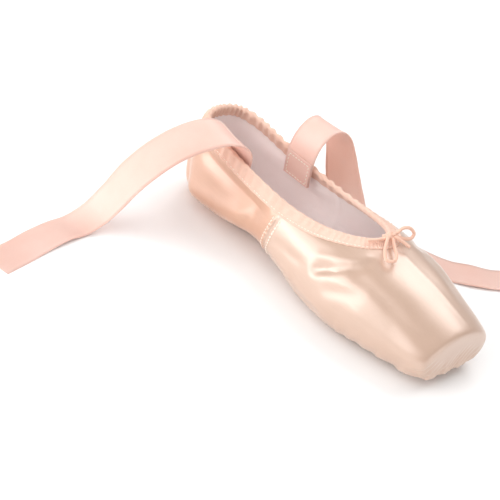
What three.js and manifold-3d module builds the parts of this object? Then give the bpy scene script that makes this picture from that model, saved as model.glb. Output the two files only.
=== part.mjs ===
// Pointe shoe, one shoe of a pair, standing empty on its sole.
// Millimetres. +X to the toe, +Y to the wearer's left, +Z up, sole on z = 0.
import * as THREE from 'three';
import Module from 'manifold-3d';

// ---- driving dimensions ----
const LENGTH = 226;            // heel back to platform face
const BALL_WIDTH = 78;         // widest, across the ball
const HEEL_HEIGHT = 57;        // floor to the top of the heel binding
const INSTEP_HEIGHT = 54;      // floor to the top of the throat
const ARCH_RISE = 6.5;           // hollow under the waist
const TOE_RISE = 1.2;          // outsole's front end off the floor
const WALL = 2.0;              // satin, canvas and lining together
const BOX_WALL = 2.8;          // pasted layers of the box
const EDGE_SOFTNESS = 1.6;     // rounding of the platform edge
const BINDING_HEIGHT = 9;
const GAP = 0.3;               // between neighbouring pieces
const OUTSOLE_THICK = 2.6;
const OUTSOLE_BEVEL = 0.7;
const INSOLE_THICK = 1.6;
const INSOLE_BEVEL = 0.4;
const PLUG_BEVEL = 0.2;
const RIBBON_WIDTH = 22;
const RIBBON_THICK = 0.8;
const STRING_DIAMETER = 2;
const INSOLE_FLOOR = 5.5;      // underside of the insole board over the flats

// ---- mesh density ----
const COLUMNS = 40;            // half way round, heel back to toe centre
const ROWS = 17;               // collar to rim
const DENSE = 60;

// ---- sections: one row per section plane, heel back round to toe centre ----
// columns: collar, shoulder, wall, widest, low, feather, rim
// x as a share of LENGTH
const STATION = {
  heelBack: [0.027, 0.010, 0.001, 0.000, 0.007, 0.031, 0.080],
  heelCorner: [0.044, 0.029, 0.022, 0.023, 0.030, 0.047, 0.084],
  heelSide: [0.106, 0.102, 0.100, 0.100, 0.102, 0.106, 0.115],
  quarter: [0.212, 0.212, 0.212, 0.212, 0.212, 0.212, 0.212],
  waist: [0.327, 0.327, 0.327, 0.327, 0.327, 0.327, 0.327],
  arch: [0.442, 0.442, 0.442, 0.442, 0.442, 0.442, 0.442],
  foreArch: [0.544, 0.549, 0.553, 0.558, 0.558, 0.553, 0.540],
  ball: [0.619, 0.637, 0.655, 0.668, 0.668, 0.659, 0.633],
  boxSide: [0.659, 0.704, 0.748, 0.779, 0.779, 0.765, 0.699],
  boxFront: [0.677, 0.743, 0.819, 0.889, 0.885, 0.863, 0.739],
  corner: [0.684, 0.765, 0.872, 1.000, 0.996, 0.947, 0.759],
  platform: [0.686, 0.774, 0.894, 1.027, 1.027, 0.969, 0.765],
};
// y as a share of half BALL_WIDTH
const SPREAD = {
  heelBack: [0, 0, 0, 0, 0, 0, 0],
  heelCorner: [0.321, 0.390, 0.436, 0.462, 0.431, 0.333, 0.154],
  heelSide: [0.487, 0.569, 0.623, 0.649, 0.615, 0.500, 0.231],
  quarter: [0.526, 0.615, 0.667, 0.687, 0.636, 0.500, 0.180],
  waist: [0.538, 0.646, 0.708, 0.731, 0.667, 0.513, 0.141],
  arch: [0.533, 0.692, 0.790, 0.821, 0.756, 0.603, 0.205],
  foreArch: [0.477, 0.705, 0.862, 0.928, 0.872, 0.731, 0.346],
  ball: [0.359, 0.667, 0.897, 1.000, 0.949, 0.808, 0.449],
  boxSide: [0.231, 0.564, 0.846, 0.949, 0.897, 0.756, 0.462],
  boxFront: [0.118, 0.385, 0.679, 0.821, 0.777, 0.641, 0.346],
  corner: [0.051, 0.200, 0.397, 0.615, 0.577, 0.436, 0.167],
  platform: [0, 0, 0, 0, 0, 0, 0],
};
// z as a share of the row's own top height
const HEIGHT = {
  heelBack: [1.000, 0.825, 0.596, 0.351, 0.158, 0.060, 0.052],
  heelCorner: [0.988, 0.816, 0.588, 0.342, 0.154, 0.060, 0.052],
  heelSide: [0.947, 0.781, 0.561, 0.325, 0.149, 0.061, 0.052],
  quarter: [0.877, 0.728, 0.526, 0.307, 0.144, 0.061, 0.052],
  waist: [0.825, 0.684, 0.500, 0.298, 0.140, 0.061, 0.052],
  arch: [0.807, 0.675, 0.491, 0.289, 0.140, 0.061, 0.052],
  foreArch: [0.880, 0.759, 0.556, 0.315, 0.148, 0.065, 0.055],
  ball: [0.931, 0.830, 0.611, 0.333, 0.148, 0.065, 0.055],
  boxSide: [0.967, 0.870, 0.667, 0.350, 0.150, 0.066, 0.056],
  boxFront: [0.985, 0.902, 0.731, 0.385, 0.155, 0.070, 0.057],
  corner: [0.993, 0.911, 0.769, 0.430, 0.160, 0.085, 0.058],
  platform: [0.994, 0.915, 0.778, 0.520, 0.200, 0.092, 0.058],
};
const QUARTER_ROWS = 6;        // rows measured from HEEL_HEIGHT, the rest from INSTEP_HEIGHT
const LIFT_SHARE = [0, 0.1, 0.3, 0.7, 1, 1, 1];

// ---- sole outlines: one row per station ----
// [x share of LENGTH, half width share of half BALL_WIDTH]
const OUTSOLE = [[0.027, 0.10], [0.035, 0.24], [0.058, 0.36], [0.110, 0.436], [0.190, 0.41],
  [0.280, 0.36], [0.360, 0.345], [0.440, 0.385], [0.530, 0.52], [0.610, 0.63], [0.670, 0.665],
  [0.720, 0.62], [0.757, 0.50], [0.779, 0.33], [0.787, 0.12]];
const INSOLE = [[0.049, 0.10], [0.060, 0.24], [0.085, 0.36], [0.130, 0.435], [0.210, 0.43],
  [0.330, 0.42], [0.440, 0.50], [0.550, 0.64], [0.650, 0.70], [0.740, 0.66], [0.800, 0.57],
  [0.845, 0.44], [0.865, 0.24], [0.872, 0.10]];
const PLUG = [[0.097, 0.05], [0.110, 0.13], [0.150, 0.16], [0.212, 0.145], [0.327, 0.105],
  [0.442, 0.165], [0.540, 0.30], [0.633, 0.40], [0.690, 0.405], [0.725, 0.32], [0.745, 0.18],
  [0.752, 0.06]];

// ---- ribbons: one row per station along each ribbon's middle ----
// columns: x, y, z, plan angle of the width in degrees, rise of the width in degrees
const RIBBON_NEAR = [
  [46, -16.8, 35, 0, 0], [46, -16.3, 45, 0, 0], [46.3, -17.6, 55, 0, -4],
  [45.5, -23.5, 62.5, 0, -10], [43, -34, 66.5, 0, -16], [39.5, -47, 65, 0, -20],
  [35.5, -60, 59.5, 0, -20], [30.5, -71.5, 49.5, 0, -18], [25, -81, 36, 0, -12],
  [20, -88.5, 20.5, 0, -6], [15.5, -96, 8, 2, 0], [13.5, -107, 1.4, 4, 0],
  [14.5, -121, 2.0, 6, 2], [17, -137, 1.4, 8, -1], [20.5, -153, 0.6, 9, 0],
  [24.5, -172, 0.6, 10, 0],
];
const RIBBON_FAR = [
  [66, 17.4, 34, 0, 0], [66, 16.7, 44, 0, 0], [66, 17.2, 54, 0, 0], [66.2, 20.5, 63, 0, 0],
  [66.6, 27, 69.5, 0, 0], [67.2, 35, 70, 2, 0], [68.5, 42, 63.5, 6, 0], [71, 46.5, 51, 14, 0],
  [74.5, 49.5, 36, 28, 0], [80, 52.5, 20.5, 50, 0], [89, 56, 7.5, 78, 0], [102, 60.5, 1.4, 98, 0],
  [119, 66, 2.2, 106, 2], [136, 72.5, 1.4, 114, -1], [151, 80.5, 0.8, 124, 0],
  [163, 90.5, 1.8, 134, 2], [173, 103, 0.8, 144, -1], [181, 116, 0.6, 148, 0],
];

// ---- drawstring: bow tied at the throat, routes as x, y, z ----
const KNOT_AT = [159.5, 0, 57.4];
const KNOT_RADII = [2.8, 3.3, 2.6];
const LOOP_FAR = [[159.8, 3.9, 58.4], [160, 8, 60.6], [161.5, 12.5, 60.2], [163.5, 15, 57],
  [164, 12.5, 54.6], [162.6, 8, 55], [161, 4.2, 56.2]];
const LOOP_NEAR = [[160.4, -4.1, 57.6], [163, -7.5, 56.4], [166.5, -11.5, 54.2],
  [171, -14, 52.4], [174, -11, 52.6], [171.5, -6.8, 53.6], [166.5, -3.6, 54.9],
  [163, -1.6, 56.2]];
const END_FAR = [[162.8, 1.4, 57.6], [166, 3.4, 56.2], [170, 6, 54.2]];
const END_NEAR = [[158.8, -4, 56.4], [156.6, -8, 55.2], [153, -12, 53.9]];

// ---- small mathematics ----
const clamp = (v, lo, hi) => Math.min(Math.max(v, lo), hi);
const smooth = (v) => v * v * (3 - 2 * v);
const mix = (a, b, f) => a + (b - a) * f;

function catmull(a, b, c, d, f) {
  return 0.5 * (2 * b + (c - a) * f + (2 * a - 5 * b + 4 * c - d) * f * f
    + (3 * b - a - 3 * c + d) * f * f * f);
}

function catmullPoint(rows, u) {
  const i = clamp(Math.floor(u), 1, rows.length - 3);
  return rows[i].map((_, k) => catmull(rows[i - 1][k], rows[i][k], rows[i + 1][k],
    rows[i + 2][k], u - i));
}

// ---- rise of the sole line: hollow waist between two flats, small toe rise ----
const HEEL_FLAT_END = 0.18 * LENGTH;
const FORE_FLAT_START = 0.58 * LENGTH;
const FORE_FLAT_END = 0.71 * LENGTH;

function soleLift(x) {
  const inArch = clamp((x - HEEL_FLAT_END) / (FORE_FLAT_START - HEEL_FLAT_END), 0, 1);
  const toe = clamp((x - FORE_FLAT_END) / (0.79 * LENGTH - FORE_FLAT_END), 0, 1);
  return ARCH_RISE * Math.sin(Math.PI * inArch) ** 2 + TOE_RISE * toe * toe;
}

// ---- the last's form ----
const NAMES = Object.keys(STATION);

function sectionPoint(name, row, level) {
  const top = row < QUARTER_ROWS ? HEEL_HEIGHT : INSTEP_HEIGHT;
  return [STATION[name][level] * LENGTH, SPREAD[name][level] * BALL_WIDTH / 2,
    HEIGHT[name][level] * top, LIFT_SHARE[level]];
}

const LEVELS = STATION.heelBack.map((_, level) => {
  const pts = NAMES.map((name, row) => sectionPoint(name, row, level));
  const flip = ([x, y, z, share]) => [x, -y, z, share];
  return [flip(pts[1]), ...pts, flip(pts[pts.length - 2])];
});
const SPAN = NAMES.length - 1;

// point on the outside of the form; s 0..1 heel back to toe centre, t 0..1 collar to rim
function form(s, t) {
  const fold = Math.abs(s) > 1 ? 2 - Math.abs(s) : Math.abs(s);
  const side = s < 0 || s > 1 ? -1 : 1;
  const ring = LEVELS.map((level) => catmullPoint(level, 1 + fold * SPAN));
  const last = ring.length - 1;
  const before = ring[0].map((v, k) => 2 * v - ring[1][k]);
  const after = ring[last].map((v, k) => 2 * v - ring[last - 1][k]);
  const p = catmullPoint([before, ...ring, after], 1 + t * last);
  const x = LENGTH - EDGE_SOFTNESS * Math.log1p(Math.exp((LENGTH - p[0]) / EDGE_SOFTNESS));
  return new THREE.Vector3(x, side * p[1], p[2] + soleLift(x) * clamp(p[3], 0, 1));
}

const STEP = 1e-3;

function outward(s, t) {
  const along = form(s + STEP, t).sub(form(s - STEP, t));
  const down = form(s, t + STEP).sub(form(s, t - STEP));
  return along.cross(down).normalize();
}

// t where the form's own length down from the collar reaches `arc`
function tAtArc(s, arc) {
  let walked = 0;
  let here = form(s, 0);
  for (let i = 1; i <= DENSE; i += 1) {
    const next = form(s, i / DENSE);
    const step = next.distanceTo(here);
    if (walked + step >= arc) return (i - 1 + (arc - walked) / step) / DENSE;
    walked += step;
    here = next;
  }
  return 1;
}

// point `depth` under the outside face (negative stands proud of it)
function under(s, t, depth) {
  return form(s, t).addScaledVector(outward(s, t), -depth);
}

// ---- mesh builders ----
function bodyFrom(positions, faces) {
  let volume = 0;
  const a = new THREE.Vector3();
  const b = new THREE.Vector3();
  const c = new THREE.Vector3();
  for (const [i, j, k] of faces) {
    volume += a.copy(positions[i]).dot(b.copy(positions[j]).cross(c.copy(positions[k])));
  }
  const turned = volume < 0 ? faces.map(([i, j, k]) => [i, k, j]) : faces;
  const geometry = new THREE.BufferGeometry();
  const flat = positions.flatMap((p) => [p.x, p.y, p.z]);
  geometry.setAttribute('position', new THREE.Float32BufferAttribute(flat, 3));
  geometry.setIndex(turned.flat());
  geometry.computeVertexNormals();
  return geometry;
}

function bandFaces(from, to, count) {
  const faces = [];
  for (let i = 0; i < count; i += 1) {
    const j = (i + 1) % count;
    faces.push([from + i, to + i, to + j], [from + i, to + j, from + j]);
  }
  return faces;
}

// loops of equal length joined into a ring: the last loop closes on the first
function ringBody(loops) {
  const n = loops[0].length;
  const faces = loops.flatMap((_, k) => bandFaces(k * n, ((k + 1) % loops.length) * n, n));
  return bodyFrom(loops.flat(), faces);
}

// sections of equal length joined into a bar with flat ends
function barBody(sections) {
  const n = sections[0].length;
  const faces = [];
  for (let k = 0; k + 1 < sections.length; k += 1) {
    faces.push(...bandFaces(k * n, (k + 1) * n, n));
  }
  const end = (sections.length - 1) * n;
  for (let i = 1; i + 1 < n; i += 1) {
    faces.push([0, i, i + 1], [end, end + i + 1, end + i]);
  }
  return bodyFrom(sections.flat(), faces);
}

function loop(pointAt) {
  return Array.from({ length: 2 * COLUMNS }, (_, i) => pointAt(i / COLUMNS));
}

function wallAt(x) {
  return mix(WALL, BOX_WALL, smooth(clamp((x - 0.62 * LENGTH) / (0.2 * LENGTH), 0, 1)));
}

// ---- upper: a hollow shell from the binding down and round under the foot ----
function upperGeometry() {
  const starts = loop((s) => tAtArc(s, BINDING_HEIGHT + GAP));
  const shell = (row, inner) => starts.map((t0, i) => {
    const s = i / COLUMNS;
    const t = mix(t0, 1, row / ROWS);
    return inner ? under(s, t, wallAt(form(s, t).x)) : form(s, t);
  });
  const rows = Array.from({ length: ROWS + 1 }, (_, row) => row);
  return ringBody([...rows.map((row) => shell(row, false)),
    ...rows.reverse().map((row) => shell(row, true))]);
}

// ---- binding: folded tape, a band standing on the upper's top edge ----
// columns: share of the band's height, depth under the form's face
const BINDING_SECTION = [[1, -0.35], [0.5, -0.5], [0.08, -0.25], [0, 0.5], [0, 2.0],
  [0.08, 2.6], [0.5, 2.7], [1, 2.6]];

function bindingGeometry() {
  return ringBody(BINDING_SECTION.map(([share, depth]) => loop((s) => (
    under(s, tAtArc(s, share * BINDING_HEIGHT), depth)))));
}

// ---- flat pieces of the sole: a bevelled slab whose outline comes from a table ----
function outlineAt(table, x) {
  const rows = table.map(([a, b]) => [a * LENGTH, b * BALL_WIDTH / 2, 0]);
  const padded = [rows[0], ...rows, rows[rows.length - 1]];
  let i = 1;
  while (i < padded.length - 3 && padded[i + 1][0] < x) i += 1;
  const f = clamp((x - padded[i][0]) / (padded[i + 1][0] - padded[i][0]), 0, 1);
  return catmull(padded[i - 1][1], padded[i][1], padded[i + 1][1], padded[i + 2][1], f);
}

function stationsOf(table) {
  const xs = [];
  for (let i = 0; i + 1 < table.length; i += 1) {
    const [a, b] = [table[i][0] * LENGTH, table[i + 1][0] * LENGTH];
    const count = Math.max(2, Math.round((b - a) / 4.5));
    for (let k = 0; k < count; k += 1) xs.push(mix(a, b, k / count));
  }
  xs.push(table[table.length - 1][0] * LENGTH);
  return xs;
}

function slabBody(table, lowAt, highAt, bevel) {
  return barBody(stationsOf(table).map((x) => {
    const w = outlineAt(table, x);
    const cut = Math.min(bevel, 0.4 * w);
    const low = lowAt(x);
    const high = highAt(x);
    return [[-w + cut, low], [w - cut, low], [w, low + cut], [w, high - cut], [w - cut, high],
      [-w + cut, high], [-w, high - cut], [-w, low + cut]]
      .map(([y, z]) => new THREE.Vector3(x, y, z));
  }));
}

function insoleLow(x) {
  const rise = clamp((x - 0.76 * LENGTH) / (0.11 * LENGTH), 0, 1);
  return INSOLE_FLOOR + soleLift(x) + wallAt(x) - WALL + 1.2 * rise;
}

function plugLow(x) {
  return soleLift(x) + OUTSOLE_THICK + GAP;
}

// ---- ribbon: a flat strip swept along its stations ----
function ribbonGeometry(route) {
  const radians = THREE.MathUtils.degToRad;
  const rows = [route[0], ...route, route[route.length - 1]];
  const at = (u) => catmullPoint(rows, 1 + u * (route.length - 1));
  const place = (u) => new THREE.Vector3(...at(u).slice(0, 3));
  const steps = 4 * (route.length - 1);
  return barBody(Array.from({ length: steps + 1 }, (_, i) => {
    const u = i / steps;
    const [, , , plan, rise] = at(u);
    const along = place(Math.min(u + STEP, 1)).sub(place(Math.max(u - STEP, 0))).normalize();
    const across = new THREE.Vector3(Math.cos(radians(plan)) * Math.cos(radians(rise)),
      Math.sin(radians(plan)) * Math.cos(radians(rise)), Math.sin(radians(rise)));
    across.addScaledVector(along, -across.dot(along)).setLength(RIBBON_WIDTH / 2);
    const face = along.clone().cross(across).setLength(RIBBON_THICK / 2);
    return [[-1, -1], [1, -1], [1, 1], [-1, 1]]
      .map(([a, b]) => place(u).addScaledVector(across, a).addScaledVector(face, b));
  }));
}

function cordGeometry(route) {
  const path = new THREE.CatmullRomCurve3(route.map((p) => new THREE.Vector3(...p)));
  const section = new THREE.Shape().absarc(0, 0, STRING_DIAMETER / 2, 0, 2 * Math.PI);
  const geometry = new THREE.ExtrudeGeometry(new THREE.Shape(section.getPoints(2)), {
    steps: Math.ceil(path.getLength() / (2 * STRING_DIAMETER)),
    extrudePath: path,
    bevelEnabled: false,
  });
  return geometry;
}

function knotGeometry() {
  const knot = new THREE.SphereGeometry(1, 14, 9);
  return knot.scale(...KNOT_RADII).translate(...KNOT_AT);
}

// ---- joining solids ----
const wasm = await Module();
wasm.setup();

function toManifold(geometry) {
  return new wasm.Manifold(new wasm.Mesh({
    numProp: 3,
    vertProperties: new Float32Array(geometry.attributes.position.array),
    triVerts: new Uint32Array(geometry.index.array),
  }));
}

function joined(geometries) {
  const mesh = wasm.Manifold.union(geometries.map(toManifold)).getMesh();
  const geometry = new THREE.BufferGeometry();
  const positions = [];
  for (let i = 0; i < mesh.vertProperties.length; i += mesh.numProp) {
    positions.push(...mesh.vertProperties.slice(i, i + 3));
  }
  geometry.setAttribute('position', new THREE.Float32BufferAttribute(positions, 3));
  geometry.setIndex([...mesh.triVerts]);
  geometry.computeVertexNormals();
  return geometry;
}

// ---- the shoe ----
const FINISHES = {
  satin: { color: 0xedcfbb, roughness: 0.35 },
  tape: { color: 0xf5d5c4, roughness: 0.85 },
  leather: { color: 0xdbb19a, roughness: 0.8 },
  lining: { color: 0xe9d3cd, roughness: 0.9 },
  ribbon: { color: 0xfbe0d5, roughness: 0.4 },
};

const shoe = new THREE.Group();
shoe.name = 'pointe_shoe';

function addNode(name, geometry, finish) {
  const material = new THREE.MeshStandardMaterial({ ...FINISHES[finish], metalness: 0 });
  const mesh = new THREE.Mesh(geometry, material);
  mesh.name = name;
  mesh.position.x = -LENGTH / 2;
  shoe.add(mesh);
}

addNode('outsole', slabBody(OUTSOLE, (x) => soleLift(x), (x) => soleLift(x) + OUTSOLE_THICK,
  OUTSOLE_BEVEL), 'leather');
addNode('upper', upperGeometry(), 'satin');
addNode('binding', bindingGeometry(), 'tape');
addNode('insole', joined([
  slabBody(INSOLE, insoleLow, (x) => insoleLow(x) + INSOLE_THICK, INSOLE_BEVEL),
  slabBody(PLUG, plugLow, (x) => insoleLow(x) + INSOLE_BEVEL, PLUG_BEVEL),
]), 'lining');
addNode('ribbon_near', ribbonGeometry(RIBBON_NEAR), 'ribbon');
addNode('ribbon_far', ribbonGeometry(RIBBON_FAR), 'ribbon');
addNode('drawstring_knot', knotGeometry(), 'tape');
for (const [name, route] of Object.entries({
  drawstring_loop_far: LOOP_FAR,
  drawstring_loop_near: LOOP_NEAR,
  drawstring_end_far: END_FAR,
  drawstring_end_near: END_NEAR,
})) {
  addNode(name, cordGeometry(route), 'tape');
}

export default shoe;
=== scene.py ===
"""A pointe shoe standing empty on its sole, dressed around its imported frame."""
import logging
import math
from dataclasses import dataclass, field
from enum import Enum
from typing import Callable, NamedTuple, Sequence

import bmesh
import bpy
import numpy as np
from mathutils import Matrix, Vector


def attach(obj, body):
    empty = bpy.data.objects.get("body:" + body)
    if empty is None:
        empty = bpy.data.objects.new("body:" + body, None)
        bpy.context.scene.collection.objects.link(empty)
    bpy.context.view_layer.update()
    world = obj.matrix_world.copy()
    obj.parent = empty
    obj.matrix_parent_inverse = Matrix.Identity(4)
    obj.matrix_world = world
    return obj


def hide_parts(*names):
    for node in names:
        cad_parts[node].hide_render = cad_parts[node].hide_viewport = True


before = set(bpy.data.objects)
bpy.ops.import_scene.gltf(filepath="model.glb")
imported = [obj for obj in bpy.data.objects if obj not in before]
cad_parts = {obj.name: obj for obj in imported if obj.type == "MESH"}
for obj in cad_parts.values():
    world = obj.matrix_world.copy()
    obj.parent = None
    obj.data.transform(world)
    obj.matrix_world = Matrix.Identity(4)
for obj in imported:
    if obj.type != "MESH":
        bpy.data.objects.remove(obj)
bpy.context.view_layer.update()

LOG = logging.getLogger("pointe_shoe")
MM = 0.001
BODY = "root"
# The steps in each span of a smooth curve, and a stitch's height as a share of its width.
SPAN_STEPS = 60
THREAD_FLATNESS = 0.8
# A weave's bands: Blender draws about three to a metre at scale 1, so this gives one ridge to
# two thread widths. The second number is how finely they waver.
BANDS_PER_THREAD = 0.16
BAND_DETAIL = 300.0
# Most of a noise's values lie in here.
NOISE_RANGE = (0.3, 0.7)

Points = np.ndarray
Place = Callable[[np.ndarray, np.ndarray], Points]
Stitches = list[tuple[Vector, Vector, Vector]]


# ---------------------------------------------------------------- the last

class Section(NamedTuple):
    """One section plane of the last, seven levels from collar to rim.

    The levels are collar, shoulder, wall, widest, low, feather and rim. x is a share of the
    length, y of half the ball's width and z of the row's own top height.
    """

    x: tuple[float, ...]
    y: tuple[float, ...]
    z: tuple[float, ...]


SECTIONS: dict[str, Section] = {
    "heel_back": Section(
        x=(0.027, 0.010, 0.001, 0.000, 0.007, 0.031, 0.080),
        y=(0, 0, 0, 0, 0, 0, 0),
        z=(1.000, 0.825, 0.596, 0.351, 0.158, 0.060, 0.052)),
    "heel_corner": Section(
        x=(0.044, 0.029, 0.022, 0.023, 0.030, 0.047, 0.084),
        y=(0.321, 0.390, 0.436, 0.462, 0.431, 0.333, 0.154),
        z=(0.988, 0.816, 0.588, 0.342, 0.154, 0.060, 0.052)),
    "heel_side": Section(
        x=(0.106, 0.102, 0.100, 0.100, 0.102, 0.106, 0.115),
        y=(0.487, 0.569, 0.623, 0.649, 0.615, 0.500, 0.231),
        z=(0.947, 0.781, 0.561, 0.325, 0.149, 0.061, 0.052)),
    "quarter": Section(
        x=(0.212, 0.212, 0.212, 0.212, 0.212, 0.212, 0.212),
        y=(0.526, 0.615, 0.667, 0.687, 0.636, 0.500, 0.180),
        z=(0.877, 0.728, 0.526, 0.307, 0.144, 0.061, 0.052)),
    "waist": Section(
        x=(0.327, 0.327, 0.327, 0.327, 0.327, 0.327, 0.327),
        y=(0.538, 0.646, 0.708, 0.731, 0.667, 0.513, 0.141),
        z=(0.825, 0.684, 0.500, 0.298, 0.140, 0.061, 0.052)),
    "arch": Section(
        x=(0.442, 0.442, 0.442, 0.442, 0.442, 0.442, 0.442),
        y=(0.533, 0.692, 0.790, 0.821, 0.756, 0.603, 0.205),
        z=(0.807, 0.675, 0.491, 0.289, 0.140, 0.061, 0.052)),
    "fore_arch": Section(
        x=(0.544, 0.549, 0.553, 0.558, 0.558, 0.553, 0.540),
        y=(0.477, 0.705, 0.862, 0.928, 0.872, 0.731, 0.346),
        z=(0.880, 0.759, 0.556, 0.315, 0.148, 0.065, 0.055)),
    "ball": Section(
        x=(0.619, 0.637, 0.655, 0.668, 0.668, 0.659, 0.633),
        y=(0.359, 0.667, 0.897, 1.000, 0.949, 0.808, 0.449),
        z=(0.931, 0.830, 0.611, 0.333, 0.148, 0.065, 0.055)),
    "box_side": Section(
        x=(0.659, 0.704, 0.748, 0.779, 0.779, 0.765, 0.699),
        y=(0.231, 0.564, 0.846, 0.949, 0.897, 0.756, 0.462),
        z=(0.967, 0.870, 0.667, 0.350, 0.150, 0.066, 0.056)),
    "box_front": Section(
        x=(0.677, 0.743, 0.819, 0.889, 0.885, 0.863, 0.739),
        y=(0.118, 0.385, 0.679, 0.821, 0.777, 0.641, 0.346),
        z=(0.985, 0.902, 0.731, 0.385, 0.155, 0.070, 0.057)),
    "corner": Section(
        x=(0.684, 0.765, 0.872, 1.000, 0.996, 0.947, 0.759),
        y=(0.051, 0.200, 0.397, 0.615, 0.577, 0.436, 0.167),
        z=(0.993, 0.911, 0.769, 0.430, 0.160, 0.085, 0.058)),
    "platform": Section(
        x=(0.686, 0.774, 0.894, 1.027, 1.027, 0.969, 0.765),
        y=(0, 0, 0, 0, 0, 0, 0),
        z=(0.994, 0.915, 0.778, 0.520, 0.200, 0.092, 0.058)),
}
LIFT_SHARE = (0, 0.1, 0.3, 0.7, 1, 1, 1)


def blend_rows(a: np.ndarray, b: np.ndarray, c: np.ndarray, d: np.ndarray,
               f: np.ndarray) -> np.ndarray:
    """Reads a Catmull-Rom span.

    Args:
        a: the row before the span.
        b: the row at its start.
        c: the row at its end.
        d: the row after it.
        f: a share of the way from b to c.

    Returns:
        The point at that share.
    """
    return 0.5 * (2 * b + (c - a) * f + (2 * a - 5 * b + 4 * c - d) * f ** 2
                  + (3 * b - a - 3 * c + d) * f ** 3)


def ramp(value: np.ndarray, start: np.ndarray | float, run: float) -> np.ndarray:
    """Returns 0 before the start, 1 beyond the run and a straight slope between."""
    return np.clip((value - start) / run, 0, 1)


def bell(away: np.ndarray, width: float) -> np.ndarray:
    """Returns 1 where away is 0, falling off on both sides."""
    return np.exp(-(away / width) ** 2)


def saw(turn: np.ndarray, skew: float) -> np.ndarray:
    """Returns a wave that climbs for that share of each whole turn and falls for the rest."""
    share = turn - np.floor(turn)
    return np.where(share < skew, share / skew, (1 - share) / (1 - skew))


def folded(s: np.ndarray) -> np.ndarray:
    """Returns s counted from the heel's back on either half, 1 at the toe."""
    return np.where(np.abs(s) > 1, 2 - np.abs(s), np.abs(s))


def ease_in_out(share: np.ndarray) -> np.ndarray:
    """Returns the share with both its ends slowed down."""
    return share * share * (3 - 2 * share)


def catmull(rows: np.ndarray, u: np.ndarray) -> np.ndarray:
    """Reads a smooth curve through rows.

    Args:
        rows: points along axis 0, with one spare at each end.
        u: where to read, 1 at the second row.

    Returns:
        One point for each value of u.
    """
    i = np.clip(np.floor(u).astype(int), 1, len(rows) - 3)
    f = (u - i).reshape(u.shape + (1,) * (rows.ndim - 1))
    return blend_rows(rows[i - 1], rows[i], rows[i + 1], rows[i + 2], f)


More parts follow.
